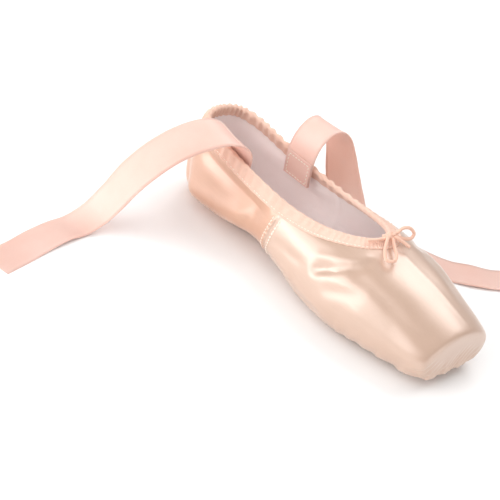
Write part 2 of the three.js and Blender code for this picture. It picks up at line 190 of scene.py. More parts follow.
@dataclass(frozen=True)
class Last:
    """The straight last that the whole shoe is built on, in metres."""

    length: float = 0.226
    ball_width: float = 0.078
    heel_height: float = 0.057
    instep_height: float = 0.054
    arch_rise: float = 0.0065
    toe_rise: float = 0.0012
    edge_softness: float = 0.0016
    wall: float = 0.0020
    box_wall: float = 0.0028
    box_start: float = 0.62
    box_run: float = 0.20
    heel_rows: int = 6
    heel_flat_end: float = 0.18
    fore_flat_start: float = 0.58
    fore_flat_end: float = 0.71
    toe_end: float = 0.79
    step: float = 1e-3
    dense: int = 120

    def levels(self) -> np.ndarray:
        """Returns the table as metres, padded for the curve: level, section, then x y z share."""
        grid = np.array([[(s.x[k] * self.length, s.y[k] * self.ball_width / 2,
                           s.z[k] * (self.heel_height if row < self.heel_rows
                                     else self.instep_height), LIFT_SHARE[k])
                          for row, s in enumerate(SECTIONS.values())]
                         for k in range(len(LIFT_SHARE))])
        flip = np.array([1, -1, 1, 1])
        return np.concatenate([grid[:, 1:2] * flip, grid, grid[:, -2:-1] * flip], axis=1)

    def sole_lift(self, x: np.ndarray) -> np.ndarray:
        """Gives how far the sole line is off the floor.

        Args:
            x: from the heel's back.

        Returns:
            A height for each x.
        """
        start, stop = self.heel_flat_end * self.length, self.fore_flat_start * self.length
        arch = ramp(x, start, stop - start)
        front, end = self.fore_flat_end * self.length, self.toe_end * self.length
        toe = ramp(x, front, end - front)
        return self.arch_rise * np.sin(np.pi * arch) ** 2 + self.toe_rise * toe ** 2

    def form(self, s: np.ndarray, t: np.ndarray) -> Points:
        """Finds points on the outside of the last.

        Args:
            s: round the shoe, 0 at the heel's back, 1 at the toe's centre, 2 back at the heel.
            t: down the side, 0 at the collar, 1 at the rim under the foot.

        Returns:
            A point for each s and t.
        """
        side = np.where((s < 0) | (s > 1), -1.0, 1.0)
        table = self.levels()
        ring = catmull(np.moveaxis(table, 0, 1), 1 + folded(s) * (len(SECTIONS) - 1))
        ring = np.concatenate([2 * ring[:, :1] - ring[:, 1:2], ring,
                               2 * ring[:, -1:] - ring[:, -2:-1]], axis=1)
        u = 1 + t * (len(LIFT_SHARE) - 1)
        i = np.clip(np.floor(u).astype(int), 1, ring.shape[1] - 3)
        n = np.arange(len(s))
        p = blend_rows(ring[n, i - 1], ring[n, i], ring[n, i + 1], ring[n, i + 2],
                       (u - i)[:, None])
        k = self.edge_softness
        x = self.length - k * np.log1p(np.exp((self.length - p[:, 0]) / k))
        z = p[:, 2] + self.sole_lift(x) * np.clip(p[:, 3], 0, 1)
        return np.stack([x, side * p[:, 1], z], axis=1)

    def outward(self, s: np.ndarray, t: np.ndarray) -> Points:
        """Finds the way out of the shoe.

        Args:
            s: round the shoe.
            t: down the side.

        Returns:
            A unit normal for each s and t.
        """
        along = self.form(s + self.step, t) - self.form(s - self.step, t)
        down = self.form(s, t + self.step) - self.form(s, t - self.step)
        normal = np.cross(along, down)
        return normal / np.linalg.norm(normal, axis=1, keepdims=True)

    def under(self, s: np.ndarray, t: np.ndarray, depth: np.ndarray) -> Points:
        """Returns points that far under the outside face; a negative depth stands proud."""
        return self.form(s, t) - self.outward(s, t) * np.reshape(depth, (-1, 1))

    def t_at(self, s: np.ndarray, arc: np.ndarray) -> np.ndarray:
        """Finds the level where the way down from the collar has a given length.

        Args:
            s: round the shoe.
            arc: the length, one for all or one for each s.

        Returns:
            A t for each s.
        """
        columns, index = np.unique(np.round(s, 9), return_inverse=True)
        t = np.linspace(0, 1, self.dense + 1)
        grid = self.form(np.repeat(columns, len(t)), np.tile(t, len(columns)))
        grid = grid.reshape(len(columns), len(t), 3)
        walked = np.cumsum(np.linalg.norm(np.diff(grid, axis=1), axis=2), axis=1)
        walked = np.concatenate([np.zeros((len(columns), 1)), walked], axis=1)
        arc = np.broadcast_to(arc, s.shape)
        result = np.empty_like(s)
        for column in range(len(columns)):
            here = index == column
            result[here] = np.interp(arc[here], walked[column], t)
        return result

    def wall_at(self, x: np.ndarray) -> np.ndarray:
        """Returns the wall's thickness for x from the heel's back."""
        share = ramp(x, self.box_start * self.length, self.box_run * self.length)
        return self.wall + (self.box_wall - self.wall) * ease_in_out(share)

    def placed(self, points: Points) -> Points:
        """Moves points from the heel's back to the frame's own origin."""
        return points - np.array([self.length / 2, 0, 0])


LAST = Last()


# ---------------------------------------------------------------- mesh work

def finish_object(name: str, bm: bmesh.types.BMesh, smooth: bool = True) -> bpy.types.Object:
    """Turns a bmesh into an object at the origin and frees the bmesh.

    Args:
        name: the piece's name.
        bm: the finished shape, in metres, in the frame.
        smooth: whether its faces shade smoothly.

    Returns:
        The new object, linked to the scene.
    """
    for face in bm.faces:
        face.smooth = smooth
    mesh = bpy.data.meshes.new(name)
    bm.to_mesh(mesh)
    bm.free()
    obj = bpy.data.objects.new(name, mesh)
    bpy.context.scene.collection.objects.link(obj)
    return obj


def grid_bmesh(columns: int, rows: int, place: Place) -> bmesh.types.BMesh:
    """Makes a grid and moves each corner to its place.

    Args:
        columns: faces along the first direction.
        rows: faces along the second direction.
        place: gives points for two arrays that run from 0 to 1.

    Returns:
        The bmesh, with a UV map that runs from 0 to 1 both ways.
    """
    bm = bmesh.new()
    bm.loops.layers.uv.new("UVMap")
    bmesh.ops.create_grid(bm, x_segments=columns, y_segments=rows, size=0.5, calc_uvs=True)
    flat = np.array([vert.co[:2] for vert in bm.verts], dtype=float) + 0.5
    for vert, point in zip(bm.verts, place(flat[:, 0], flat[:, 1])):
        vert.co = point
    return bm


def ring_piece(name: str, columns: int, profile: np.ndarray,
               place: Place) -> bpy.types.Object:
    """Makes a closed band round the collar from a closed profile.

    Args:
        name: the piece's name.
        columns: faces round the shoe.
        profile: a row for each corner of the band's cross-section.
        place: gives points for s, from 0 to 2, and the profile's rows.

    Returns:
        The band as an object.
    """
    def lay(u: np.ndarray, v: np.ndarray) -> Points:
        """Returns the grid's points, laid round the collar."""
        row = np.round(v * len(profile)).astype(int) % len(profile)
        return LAST.placed(place(np.round(2 * u, 6), profile[row]))

    bm = grid_bmesh(columns, len(profile), lay)
    bmesh.ops.remove_doubles(bm, verts=bm.verts, dist=1e-6)
    bmesh.ops.recalc_face_normals(bm, faces=bm.faces)
    return finish_object(name, bm)


def closed_strip(name: str, columns: int, rows: int, place: Place) -> bpy.types.Object:
    """Makes a strip or a tube, closed round its cross-section and at any open end.

    Args:
        name: the piece's name.
        columns: faces along it.
        rows: faces round its cross-section.
        place: gives points for both directions, from 0 to 1.

    Returns:
        The piece as an object.
    """
    bm = grid_bmesh(columns, rows, place)
    bmesh.ops.remove_doubles(bm, verts=bm.verts, dist=1e-7)
    bmesh.ops.holes_fill(bm, edges=[edge for edge in bm.edges if edge.is_boundary], sides=0)
    bmesh.ops.recalc_face_normals(bm, faces=bm.faces)
    return finish_object(name, bm)


def join_copies(name: str, source: bmesh.types.BMesh, places: Stitches) -> bpy.types.Object:
    """Repeats a small shape into one mesh.

    Args:
        name: the piece's name.
        source: the shape, long along X with Z out of the surface; it is freed.
        places: for each copy its middle, the way it points and the way it faces.

    Returns:
        All the copies as one object.
    """
    one = bpy.data.meshes.new(name + "_one")
    source.to_mesh(one)
    source.free()
    bm = bmesh.new()
    for middle, along, facing in places:
        before = len(bm.verts)
        bm.from_mesh(one)
        bm.verts.ensure_lookup_table()
        side = facing.cross(along).normalized()
        out = along.cross(side).normalized()
        for vert in bm.verts[before:]:
            x, y, z = vert.co
            vert.co = middle + along * x + side * y + out * z
    bpy.data.meshes.remove(one)
    return finish_object(name, bm)


def stitch_shape(length: float, thickness: float) -> bmesh.types.BMesh:
    """Makes one short run of thread, rounded and slightly flat.

    Args:
        length: along the seam.
        thickness: across the seam.

    Returns:
        The shape, long along X.
    """
    bm = bmesh.new()
    bmesh.ops.create_icosphere(bm, subdivisions=2, radius=0.5)
    bmesh.ops.scale(bm, vec=(length, thickness, thickness * THREAD_FLATNESS), verts=bm.verts)
    return bm


def distances(points: np.ndarray) -> np.ndarray:
    """Returns how far along a line each of its points is."""
    return np.concatenate([[0], np.cumsum(np.linalg.norm(np.diff(points, axis=0), axis=1))])


def read_line(points: np.ndarray, walked: np.ndarray, wanted: np.ndarray) -> np.ndarray:
    """Returns the points of a line at the wanted distances, from those of its own points."""
    return np.stack([np.interp(wanted, walked, points[:, k]) for k in range(3)], axis=1)


def tube_points(path: Sequence[Sequence[float]], count: int) -> np.ndarray:
    """Spaces points evenly on a smooth curve.

    Args:
        path: the points that the curve goes through.
        count: how many points are wanted.

    Returns:
        The points, both ends among them.
    """
    rows = np.array(path, dtype=float)
    rows = np.concatenate([2 * rows[:1] - rows[1:2], rows, 2 * rows[-1:] - rows[-2:-1]])
    dense = catmull(rows, np.linspace(1, len(rows) - 2, SPAN_STEPS * (len(rows) - 3) + 1))
    walked = distances(dense)
    return read_line(dense, walked, np.linspace(0, walked[-1], count))


def path_length(points: np.ndarray) -> float:
    """Returns the length of a line through points."""
    return float(np.linalg.norm(np.diff(points, axis=0), axis=1).sum())


def stitch_row(points: np.ndarray, facing: Callable[[np.ndarray], np.ndarray],
               pitch: float) -> Stitches:
    """Spaces stitches along a line.

    Args:
        points: the line, in the frame.
        facing: gives the surface's normal for each of some points.
        pitch: from one stitch to the next.

    Returns:
        For each stitch its middle, the way it points and the way it faces.
    """
    count = max(2, round(path_length(points) / pitch))
    walked = distances(points)
    wanted = (np.arange(count) + 0.5) * walked[-1] / count
    reach = walked[-1] / count * 0.3
    middles, ahead, behind = (read_line(points, walked, wanted + shift)
                              for shift in (0, reach, -reach))
    return [(Vector(m), Vector(a - b).normalized(), Vector(n))
            for m, a, b, n in zip(middles, ahead, behind, facing(middles))]


def stitches_on_last(s: np.ndarray, t: np.ndarray, proud: float, pitch: float) -> Stitches:
    """Spaces stitches along a line on the last.

    Args:
        s: round the shoe, for each point of the line.
        t: down the side, for each point of the line.
        proud: how far their middles stand off the last.
        pitch: from one stitch to the next.

    Returns:
        A place for each stitch.
    """
    points = LAST.placed(LAST.under(s, t, np.full_like(t, -proud)))

    def facing(middles: np.ndarray) -> np.ndarray:
        """Returns the normal at the line's point nearest to each middle."""
        near = ((middles[:, None] - points[None]) ** 2).sum(axis=2).argmin(axis=1)
        return LAST.outward(s[near], t[near])

    return stitch_row(points, facing, pitch)


# ---------------------------------------------------------------- finishes

def linear(hexed: str) -> tuple[float, float, float, float]:
    """Turns an sRGB colour to linear.

    Args:
        hexed: the colour as # and six hex digits.

    Returns:
        Its linear red, green and blue, and an alpha of 1.
    """
    shares = [int(hexed[i:i + 2], 16) / 255 for i in (1, 3, 5)]
    red, green, blue = [c / 12.92 if c <= 0.04045 else ((c + 0.055) / 1.055) ** 2.4
                        for c in shares]
    return red, green, blue, 1.0


def add_node(tree: bpy.types.NodeTree, kind: str, settings: dict[str, object] | None = None,
             inputs: dict[str, object] | None = None) -> bpy.types.Node:
    """Adds a node with its settings; an input given as a socket is linked.

    Args:
        tree: where the node goes.
        kind: the node's type name.
        settings: attributes of the node.
        inputs: values or output sockets by input name.

    Returns:
        The new node.
    """
    made = tree.nodes.new(kind)
    for key, value in (settings or {}).items():
        setattr(made, key, value)
    for key, value in (inputs or {}).items():
        socket = made.inputs[int(key)] if key.isdigit() else made.inputs[key]
        if isinstance(value, bpy.types.NodeSocket):
            tree.links.new(value, socket)
        else:
            socket.default_value = value
    return made


def new_material(name: str) -> tuple[bpy.types.Material, bpy.types.NodeTree,
                                     bpy.types.NodeSocket]:
    """Starts a material on the piece's own Object coordinates.

    Args:
        name: the material's name.

    Returns:
        The material, its node tree and the coordinates.
    """
    material = bpy.data.materials.new(name)
    material.use_nodes = True
    tree = material.node_tree
    tree.nodes.clear()
    return material, tree, add_node(tree, "ShaderNodeTexCoord").outputs["Object"]


def add_math(tree: bpy.types.NodeTree, operation: str,
             *values: bpy.types.NodeSocket | float) -> bpy.types.NodeSocket:
    """Returns the result of an operation on two or three values."""
    return add_node(tree, "ShaderNodeMath", {"operation": operation},
                    {str(i): value for i, value in enumerate(values)}).outputs[0]


def add_noise(tree: bpy.types.NodeTree, here: bpy.types.NodeSocket, scale: float,
              detail: float, roughness: float = 0.5) -> bpy.types.NodeSocket:
    """Adds a noise.

    Args:
        tree: where it goes.
        here: the coordinates that it is read at.
        scale: its lumps in one metre.
        detail: how many finer layers it has.
        roughness: how strong the finer layers are.

    Returns:
        Its value, from 0 to 1.
    """
    return add_node(tree, "ShaderNodeTexNoise", inputs={
        "Vector": here, "Scale": scale, "Detail": detail,
        "Roughness": roughness}).outputs["Fac"]


def add_remap(tree: bpy.types.NodeTree, value: bpy.types.NodeSocket,
              source: tuple[float, float],
              target: tuple[float, float] = (0.0, 1.0)) -> bpy.types.NodeSocket:
    """Moves a value from one range to another.

    Args:
        tree: where the node goes.
        value: the value.
        source: the range that it comes from.
        target: the range that it goes to, not left at either end.

    Returns:
        The moved value.
    """
    return add_node(tree, "ShaderNodeMapRange", inputs={
        "Value": value, "From Min": source[0], "From Max": source[1],
        "To Min": target[0], "To Max": target[1]}).outputs["Result"]


def add_mix(tree: bpy.types.NodeTree, share: bpy.types.NodeSocket, first: object,
            second: object) -> bpy.types.NodeSocket:
    """Returns a colour between two, each of them a colour or a socket."""
    return add_node(tree, "ShaderNodeMix", {"data_type": "RGBA"}, {
        "0": share, "6": first, "7": second}).outputs[2]


def add_bump(tree: bpy.types.NodeTree, height: bpy.types.NodeSocket,
             relief: float) -> bpy.types.NodeSocket:
    """Returns the normal over a relief that many metres high."""
    return add_node(tree, "ShaderNodeBump", inputs={
        "Strength": 1.0, "Distance": relief, "Height": height}).outputs["Normal"]


@dataclass(frozen=True)
class Cloth:
    """A woven or napped finish: two tones, a thread pattern and its own gloss."""

    name: str
    tone: str
    shade: str
    roughness: float
    sheen: float = 0.0
    sheen_roughness: float = 0.4
    anisotropy: float = 0.0
    specular: float = 0.5
    thread: float = 0.6 * MM
    relief: float = 0.04 * MM
    mottle: float = 0.03
    rough_spread: float = 0.06
    crosswise: bool = False
    subsurface: float = 0.0
    depth: float = 2 * MM
    fine_share: float = 0.35
    tone_range: tuple[float, float] = (0.45, 0.95)

    def material(self) -> bpy.types.Material:
        """Returns the material: tone, gloss and relief follow the threads and slow blotches."""
        material, tree, here = new_material(self.name)
        slow = add_noise(tree, here, 1 / self.mottle, 3.0)
        fine = add_noise(tree, here, 1 / (2 * self.thread), 4.0, 0.65)
        height = fine
        if self.crosswise:
            warp, weft = (add_node(tree, "ShaderNodeTexWave", {"bands_direction": way}, {
                "Vector": here, "Scale": BANDS_PER_THREAD / self.thread, "Distortion": 1.5,
                "Detail Scale": BAND_DETAIL}).outputs["Fac"] for way in ("X", "Z"))
            height = add_math(tree, "ADD", add_math(tree, "MULTIPLY", warp, weft), fine)
        blend = add_math(tree, "MULTIPLY_ADD", fine, self.fine_share, slow)
        inputs: dict[str, object] = {
            "Base Color": add_mix(tree, add_remap(tree, blend, self.tone_range),
                                  linear(self.tone), linear(self.shade)),
            "Roughness": add_remap(tree, fine, NOISE_RANGE,
                                   (self.roughness - self.rough_spread,
                                    self.roughness + self.rough_spread)),
            "Normal": add_bump(tree, height, self.relief),
            "Sheen Weight": self.sheen, "Sheen Roughness": self.sheen_roughness,
            "Anisotropic": self.anisotropy, "Specular IOR Level": self.specular,
            "Subsurface Weight": self.subsurface, "Subsurface Radius": (1.0, 1.0, 1.0),
            "Subsurface Scale": self.depth}
        if self.anisotropy:
            inputs["Tangent"] = add_node(tree, "ShaderNodeTangent", {
                "direction_type": "UV_MAP", "uv_map": "UVMap"}).outputs[0]
        shader = add_node(tree, "ShaderNodeBsdfPrincipled", inputs=inputs)
        add_node(tree, "ShaderNodeOutputMaterial", inputs={"Surface": shader.outputs[0]})
        return material


@dataclass(frozen=True)
class ShoeSatin:
    """The shoe's heavy satin: glossy warp floats along the shoe; the quarters' tones are painted
    shade.
    """

    name: str = "shoe_satin"
    vamp: str = "#D6B49E"
    vamp_shade: str = "#CDA992"
    # Painted shade: the quarters' tones are darker and warmer than the vamp's, standing for the
    # warm bounced shade on them.
    quarter: str = "#D8A585"
    quarter_shade: str = "#CB9473"
    metallic: float = 0.15
    roughness: float = 0.40
    anisotropy: float = 0.30
    coat: float = 1.0
    coat_roughness: float = 0.37
    coat_ior: float = 1.9
    sheen: float = 0.20
    thread: float = 0.45 * MM
    relief: float = 0.007 * MM
    specular: float = 0.9
    sheen_roughness: float = 0.4
    rough_spread: tuple[float, float] = (-0.04, 0.05)
    streak: float = 0.06
    threads: float = 0.5
    blotches: float = 28.0
    warp_share: float = 0.5
    tone_range: tuple[float, float] = (0.5, 1.0)
    # Where the painted quarter shade ends: at the side seam, leaning forward towards the collar,
    # with a soft edge.
    seam_x: float = -22.0 * MM
    seam_blur: float = 0.4 * MM
    seam_lean: float = -0.145

    def material(self) -> bpy.types.Material:
        """Returns the material; its streaks run along the shoe, as the warp does."""
        material, tree, here = new_material(self.name)
        parts = add_node(tree, "ShaderNodeSeparateXYZ", inputs={"Vector": here}).outputs
        # The mask of the painted quarter shade: 0 behind the side seam, where the quarters' darker
        # tones go, and 1 ahead of it.
        leaned = add_math(tree, "MULTIPLY_ADD", parts["Z"], self.seam_lean, parts["X"])
        ahead = add_remap(tree, leaned, (self.seam_x - self.seam_blur,
                                         self.seam_x + self.seam_blur))
        streaks = add_node(tree, "ShaderNodeMapping", inputs={
            "Vector": here, "Scale": (self.streak, 1.0, 1.0)}).outputs["Vector"]
        warp = add_noise(tree, streaks, self.threads / self.thread, 3.0, 0.7)
        weft = add_noise(tree, here, self.threads / self.thread, 4.0)
        slow = add_noise(tree, here, self.blotches, 3.0)
        fade = add_math(tree, "MULTIPLY_ADD", warp, self.warp_share, slow)
        share = add_remap(tree, fade, self.tone_range)
        quarter, vamp = (add_mix(tree, share, linear(light), linear(dark))
                         for light, dark in ((self.quarter, self.quarter_shade),
                                             (self.vamp, self.vamp_shade)))
        bump = add_bump(tree, add_math(tree, "ADD", warp, weft), self.relief)
        along = add_node(tree, "ShaderNodeCombineXYZ", inputs={"X": 1.0}).outputs["Vector"]
        less, more = self.rough_spread
        shader = add_node(tree, "ShaderNodeBsdfPrincipled", inputs={
            "Base Color": add_mix(tree, ahead, quarter, vamp),
            "Roughness": add_remap(tree, weft, NOISE_RANGE,
                                   (self.roughness + less, self.roughness + more)),
            "Normal": bump, "Tangent": along, "Metallic": self.metallic,
            "Anisotropic": self.anisotropy, "Specular IOR Level": self.specular,
            "Coat Weight": self.coat, "Coat IOR": self.coat_ior,
            "Coat Roughness": self.coat_roughness, "Coat Normal": bump,
            "Sheen Weight": self.sheen, "Sheen Roughness": self.sheen_roughness})
        add_node(tree, "ShaderNodeOutputMaterial", inputs={"Surface": shader.outputs[0]})
        return material


# Warp-faced satin: long floats give broad soft bands of light along the shoe. Its threads are
# about 0.1 mm apart, too fine to show, so they are drawn several times as coarse.
SATIN = ShoeSatin()
# Plain-woven cotton tape: matte, with its threads just showing, drawn about twice as coarse.
TAPE = Cloth("tape", "#F3D0BE", "#ECC2AE", roughness=0.9, sheen=0.3, thread=0.55 * MM,
             relief=0.12 * MM, crosswise=True, specular=0.25)
# Pale cotton drill, slightly cool, without gloss; threads drawn about twice as coarse.
LINING = Cloth("lining", "#FFF6F4", "#FDEEEC", roughness=0.92, sheen=0.45, thread=0.5 * MM,
               relief=0.08 * MM, crosswise=True, specular=0.25)
# Suede side out: napped, blotchy and dull.
LEATHER = Cloth("leather", "#E2B9A4", "#D3A48E", roughness=0.88, sheen=0.35, thread=0.35 * MM,
                relief=0.1 * MM, mottle=0.012, specular=0.3)
# Narrow satin ribbon: thinner and paler than the shoe's own satin, and some light passes
# through it. Its threads are drawn several times as coarse as they are.
RIBBON = Cloth("ribbon", "#F3C9BC", "#ECBAAB", roughness=0.40, sheen=0.2, anisotropy=0.35,
               thread=0.35 * MM, relief=0.012 * MM, subsurface=0.35)
# Twisted cotton thread, cream on the satin, its twist drawn coarser than it is.
THREAD = Cloth("thread", "#FFF6EA", "#F6E2D0", roughness=0.6, sheen=0.2, thread=0.3 * MM,
               relief=0.05 * MM)
# Waxed brown thread of the sole.
SOLE_THREAD = Cloth("sole_thread", "#8A5A44", "#6F4534", roughness=0.55, thread=0.3 * MM,
                    relief=0.05 * MM)
# Round braided cord, soft and matte.
CORD = Cloth("cord", "#F6CDB8", "#EDBDA6", roughness=0.75, sheen=0.3, thread=0.4 * MM,
             relief=0.15 * MM)
# Bleached sheet under the shoe.
FLOOR = Cloth("floor", "#FFFFFF", "#FDFDFD", roughness=0.9, thread=1.5 * MM, relief=0.0,
              specular=0.2)


class Dresser:
    """Gives pieces their finish and their body, and hides the CAD nodes that they stand for."""

    def __init__(self) -> None:
        """Starts with no materials made."""
        self.made: dict[str, bpy.types.Material] = {}

    def dress(self, piece: bpy.types.Object, cloth: Cloth | ShoeSatin,
              nodes: Sequence[str] = ()) -> bpy.types.Object:
        """Dresses one piece and ties it to the frame.

        Args:
            piece: the object, in place.
            cloth: its finish.
            nodes: the CAD nodes that it replaces.

        Returns:
            The same object.
        """
        if cloth.name not in self.made:
            self.made[cloth.name] = cloth.material()
        piece.data.materials.append(self.made[cloth.name])
        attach(piece, BODY)
        if nodes:
            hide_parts(*nodes)
        LOG.info("%s: %d faces", piece.name, len(piece.data.polygons))
        return piece


# ---------------------------------------------------------------- the upper

# The steps in each part of a crease's line, and how many widths long its fading ends are.
CREASE_STEPS = 8
CREASE_END = 2.4


class Side(Enum):
    """Which half of the shoe a feature lies on."""

    NEAR = -1
    FAR = 1


@dataclass(frozen=True)
class Crease:
    """A soft trough (depth below 0) or ridge (above 0) along a line on the last.

    The line is given as (s, t) pairs on the half that side names, and the sizes in millimetres.
    """

    side: Side
    line: tuple[tuple[float, float], ...]
    width: float
    depth: float

    def relief(self, points: Points) -> np.ndarray:
        """Shapes the trough or ridge, which fades out at both ends of its line.

        Args:
            points: on the last.

        Returns:
            How far each point moves out, in metres.
        """
        pairs = np.array(self.line)
        fine = np.linspace(0, len(pairs) - 1, CREASE_STEPS * (len(pairs) - 1) + 1)
        s, t = [np.interp(fine, np.arange(len(pairs)), pairs[:, k]) for k in range(2)]
        line = LAST.form(self.side.value * s, t)
        starts, steps = line[:-1], np.diff(line, axis=0)
        offset = points[:, None, :] - starts
        share = (offset * steps).sum(axis=2) / (steps ** 2).sum(axis=1)
        near = offset - np.clip(share, 0, 1)[:, :, None] * steps
        away = np.linalg.norm(near, axis=2)
        best = away.argmin(axis=1)
        row = np.arange(len(points))
        along = (best + np.clip(share[row, best], 0, 1)) / len(steps)
        run = np.linalg.norm(steps, axis=1).sum() / (CREASE_END * self.width * MM)
        fade = ease_in_out(np.clip(np.minimum(along, 1 - along) * run, 0, 1))
        return self.depth * MM * fade * bell(away[row, best], self.width * MM)


CREASES: dict[str, Crease] = {
    "tuck_near": Crease(Side.NEAR, ((0.585, 0.37), (0.625, 0.31), (0.690, 0.24), (0.82, 0.155)),
                        3.3, -1.15),
    "tuck_lip_near": Crease(Side.NEAR, ((0.58, 0.26), (0.66, 0.205), (0.80, 0.12)), 2.8, 0.5),
    "tuck_dimple_near": Crease(Side.NEAR, ((0.575, 0.35), (0.62, 0.30), (0.67, 0.25)), 4.6, -0.8),
    "ball_dimple_near": Crease(Side.NEAR, ((0.625, 0.43), (0.685, 0.38), (0.78, 0.33)),
                               4.4, -0.75),
    "ball_ridge_near": Crease(Side.NEAR, ((0.60, 0.50), (0.70, 0.46), (0.80, 0.46)), 7.0, 0.35),
    "box_trough_near": Crease(Side.NEAR, ((0.69, 0.22), (0.78, 0.30), (0.86, 0.39), (0.94, 0.46)),
                              5.0, -0.9),
    "box_ridge_near": Crease(Side.NEAR, ((0.70, 0.43), (0.80, 0.48), (0.90, 0.55)), 5.5, 0.6),
    "tuck_far": Crease(Side.FAR, ((0.58, 0.34), (0.68, 0.25), (0.80, 0.17)), 3.4, -1.0),
    "box_trough_far": Crease(Side.FAR, ((0.78, 0.20), (0.86, 0.30), (0.93, 0.43)), 5.0, -0.6),
    "vamp_line": Crease(Side.FAR, ((0.97, 0.02), (0.975, 0.25), (0.965, 0.46)), 2.2, 0.16),
    "arch_fold_near": Crease(Side.NEAR, ((0.46, 0.76), (0.56, 0.66), (0.66, 0.66)), 5.0, -1.0),
    "arch_fold_far": Crease(Side.FAR, ((0.46, 0.76), (0.56, 0.66), (0.66, 0.66)), 5.0, -1.0),
    "seam_pull_near": Crease(Side.NEAR, ((0.45, 0.42), (0.50, 0.37), (0.58, 0.36)), 3.4, -0.6),
    "quarter_ledge_near": Crease(Side.NEAR, ((0.13, 0.64), (0.25, 0.57), (0.40, 0.50)), 7.0, 3.0),
    "quarter_hollow_near": Crease(Side.NEAR, ((0.14, 0.22), (0.28, 0.22), (0.44, 0.20)),
                                  8.0, -3.0),
    "heel_hollow_near": Crease(Side.NEAR, ((0.08, 0.20), (0.12, 0.42), (0.15, 0.70)), 4.5, -1.2),
    "seam_fold_near": Crease(Side.NEAR, ((0.395, 0.24), (0.375, 0.45), (0.34, 0.70)), 4.5, -1.1),
    "quarter_fold_near": Crease(Side.NEAR, ((0.16, 0.82), (0.28, 0.78), (0.42, 0.82)), 4.0, -0.9),
    "quarter_hollow_far": Crease(Side.FAR, ((0.14, 0.30), (0.28, 0.28), (0.44, 0.26)), 7.0, -1.6),
    "quarter_ledge_far": Crease(Side.FAR, ((0.14, 0.62), (0.28, 0.60), (0.42, 0.54)), 7.0, 1.6),
    "quarter_fold_far": Crease(Side.FAR, ((0.14, 0.78), (0.26, 0.80), (0.40, 0.78)), 4.0, -0.8),
    "heel_hollow_far": Crease(Side.FAR, ((0.07, 0.24), (0.10, 0.45), (0.13, 0.70)), 4.0, -0.8),
    "heel_hollow": Crease(Side.NEAR, ((0.0, 0.22), (0.02, 0.50), (0.04, 0.76)), 4.0, -0.5),
}


def all_creases(p: Points) -> np.ndarray:
    """Returns how far all the creases together move each point out."""
    return sum((crease.relief(p) for crease in CREASES.values()), np.zeros(len(p)))


def two_faces(down: int, up: int) -> np.ndarray:
    """Makes the cross-section of a cloth with an outside and an inside.

    Args:
        down: rows on the outside, from the top edge down.
        up: rows on the inside, from the rim up.

    Returns:
        For each row a share of the way down, then 0 outside and 1 inside.
    """
    share = np.concatenate([np.linspace(0, 1, down), np.linspace(1, 0, up)])
    return np.stack([share, np.repeat([0.0, 1.0], [down, up])], axis=1)


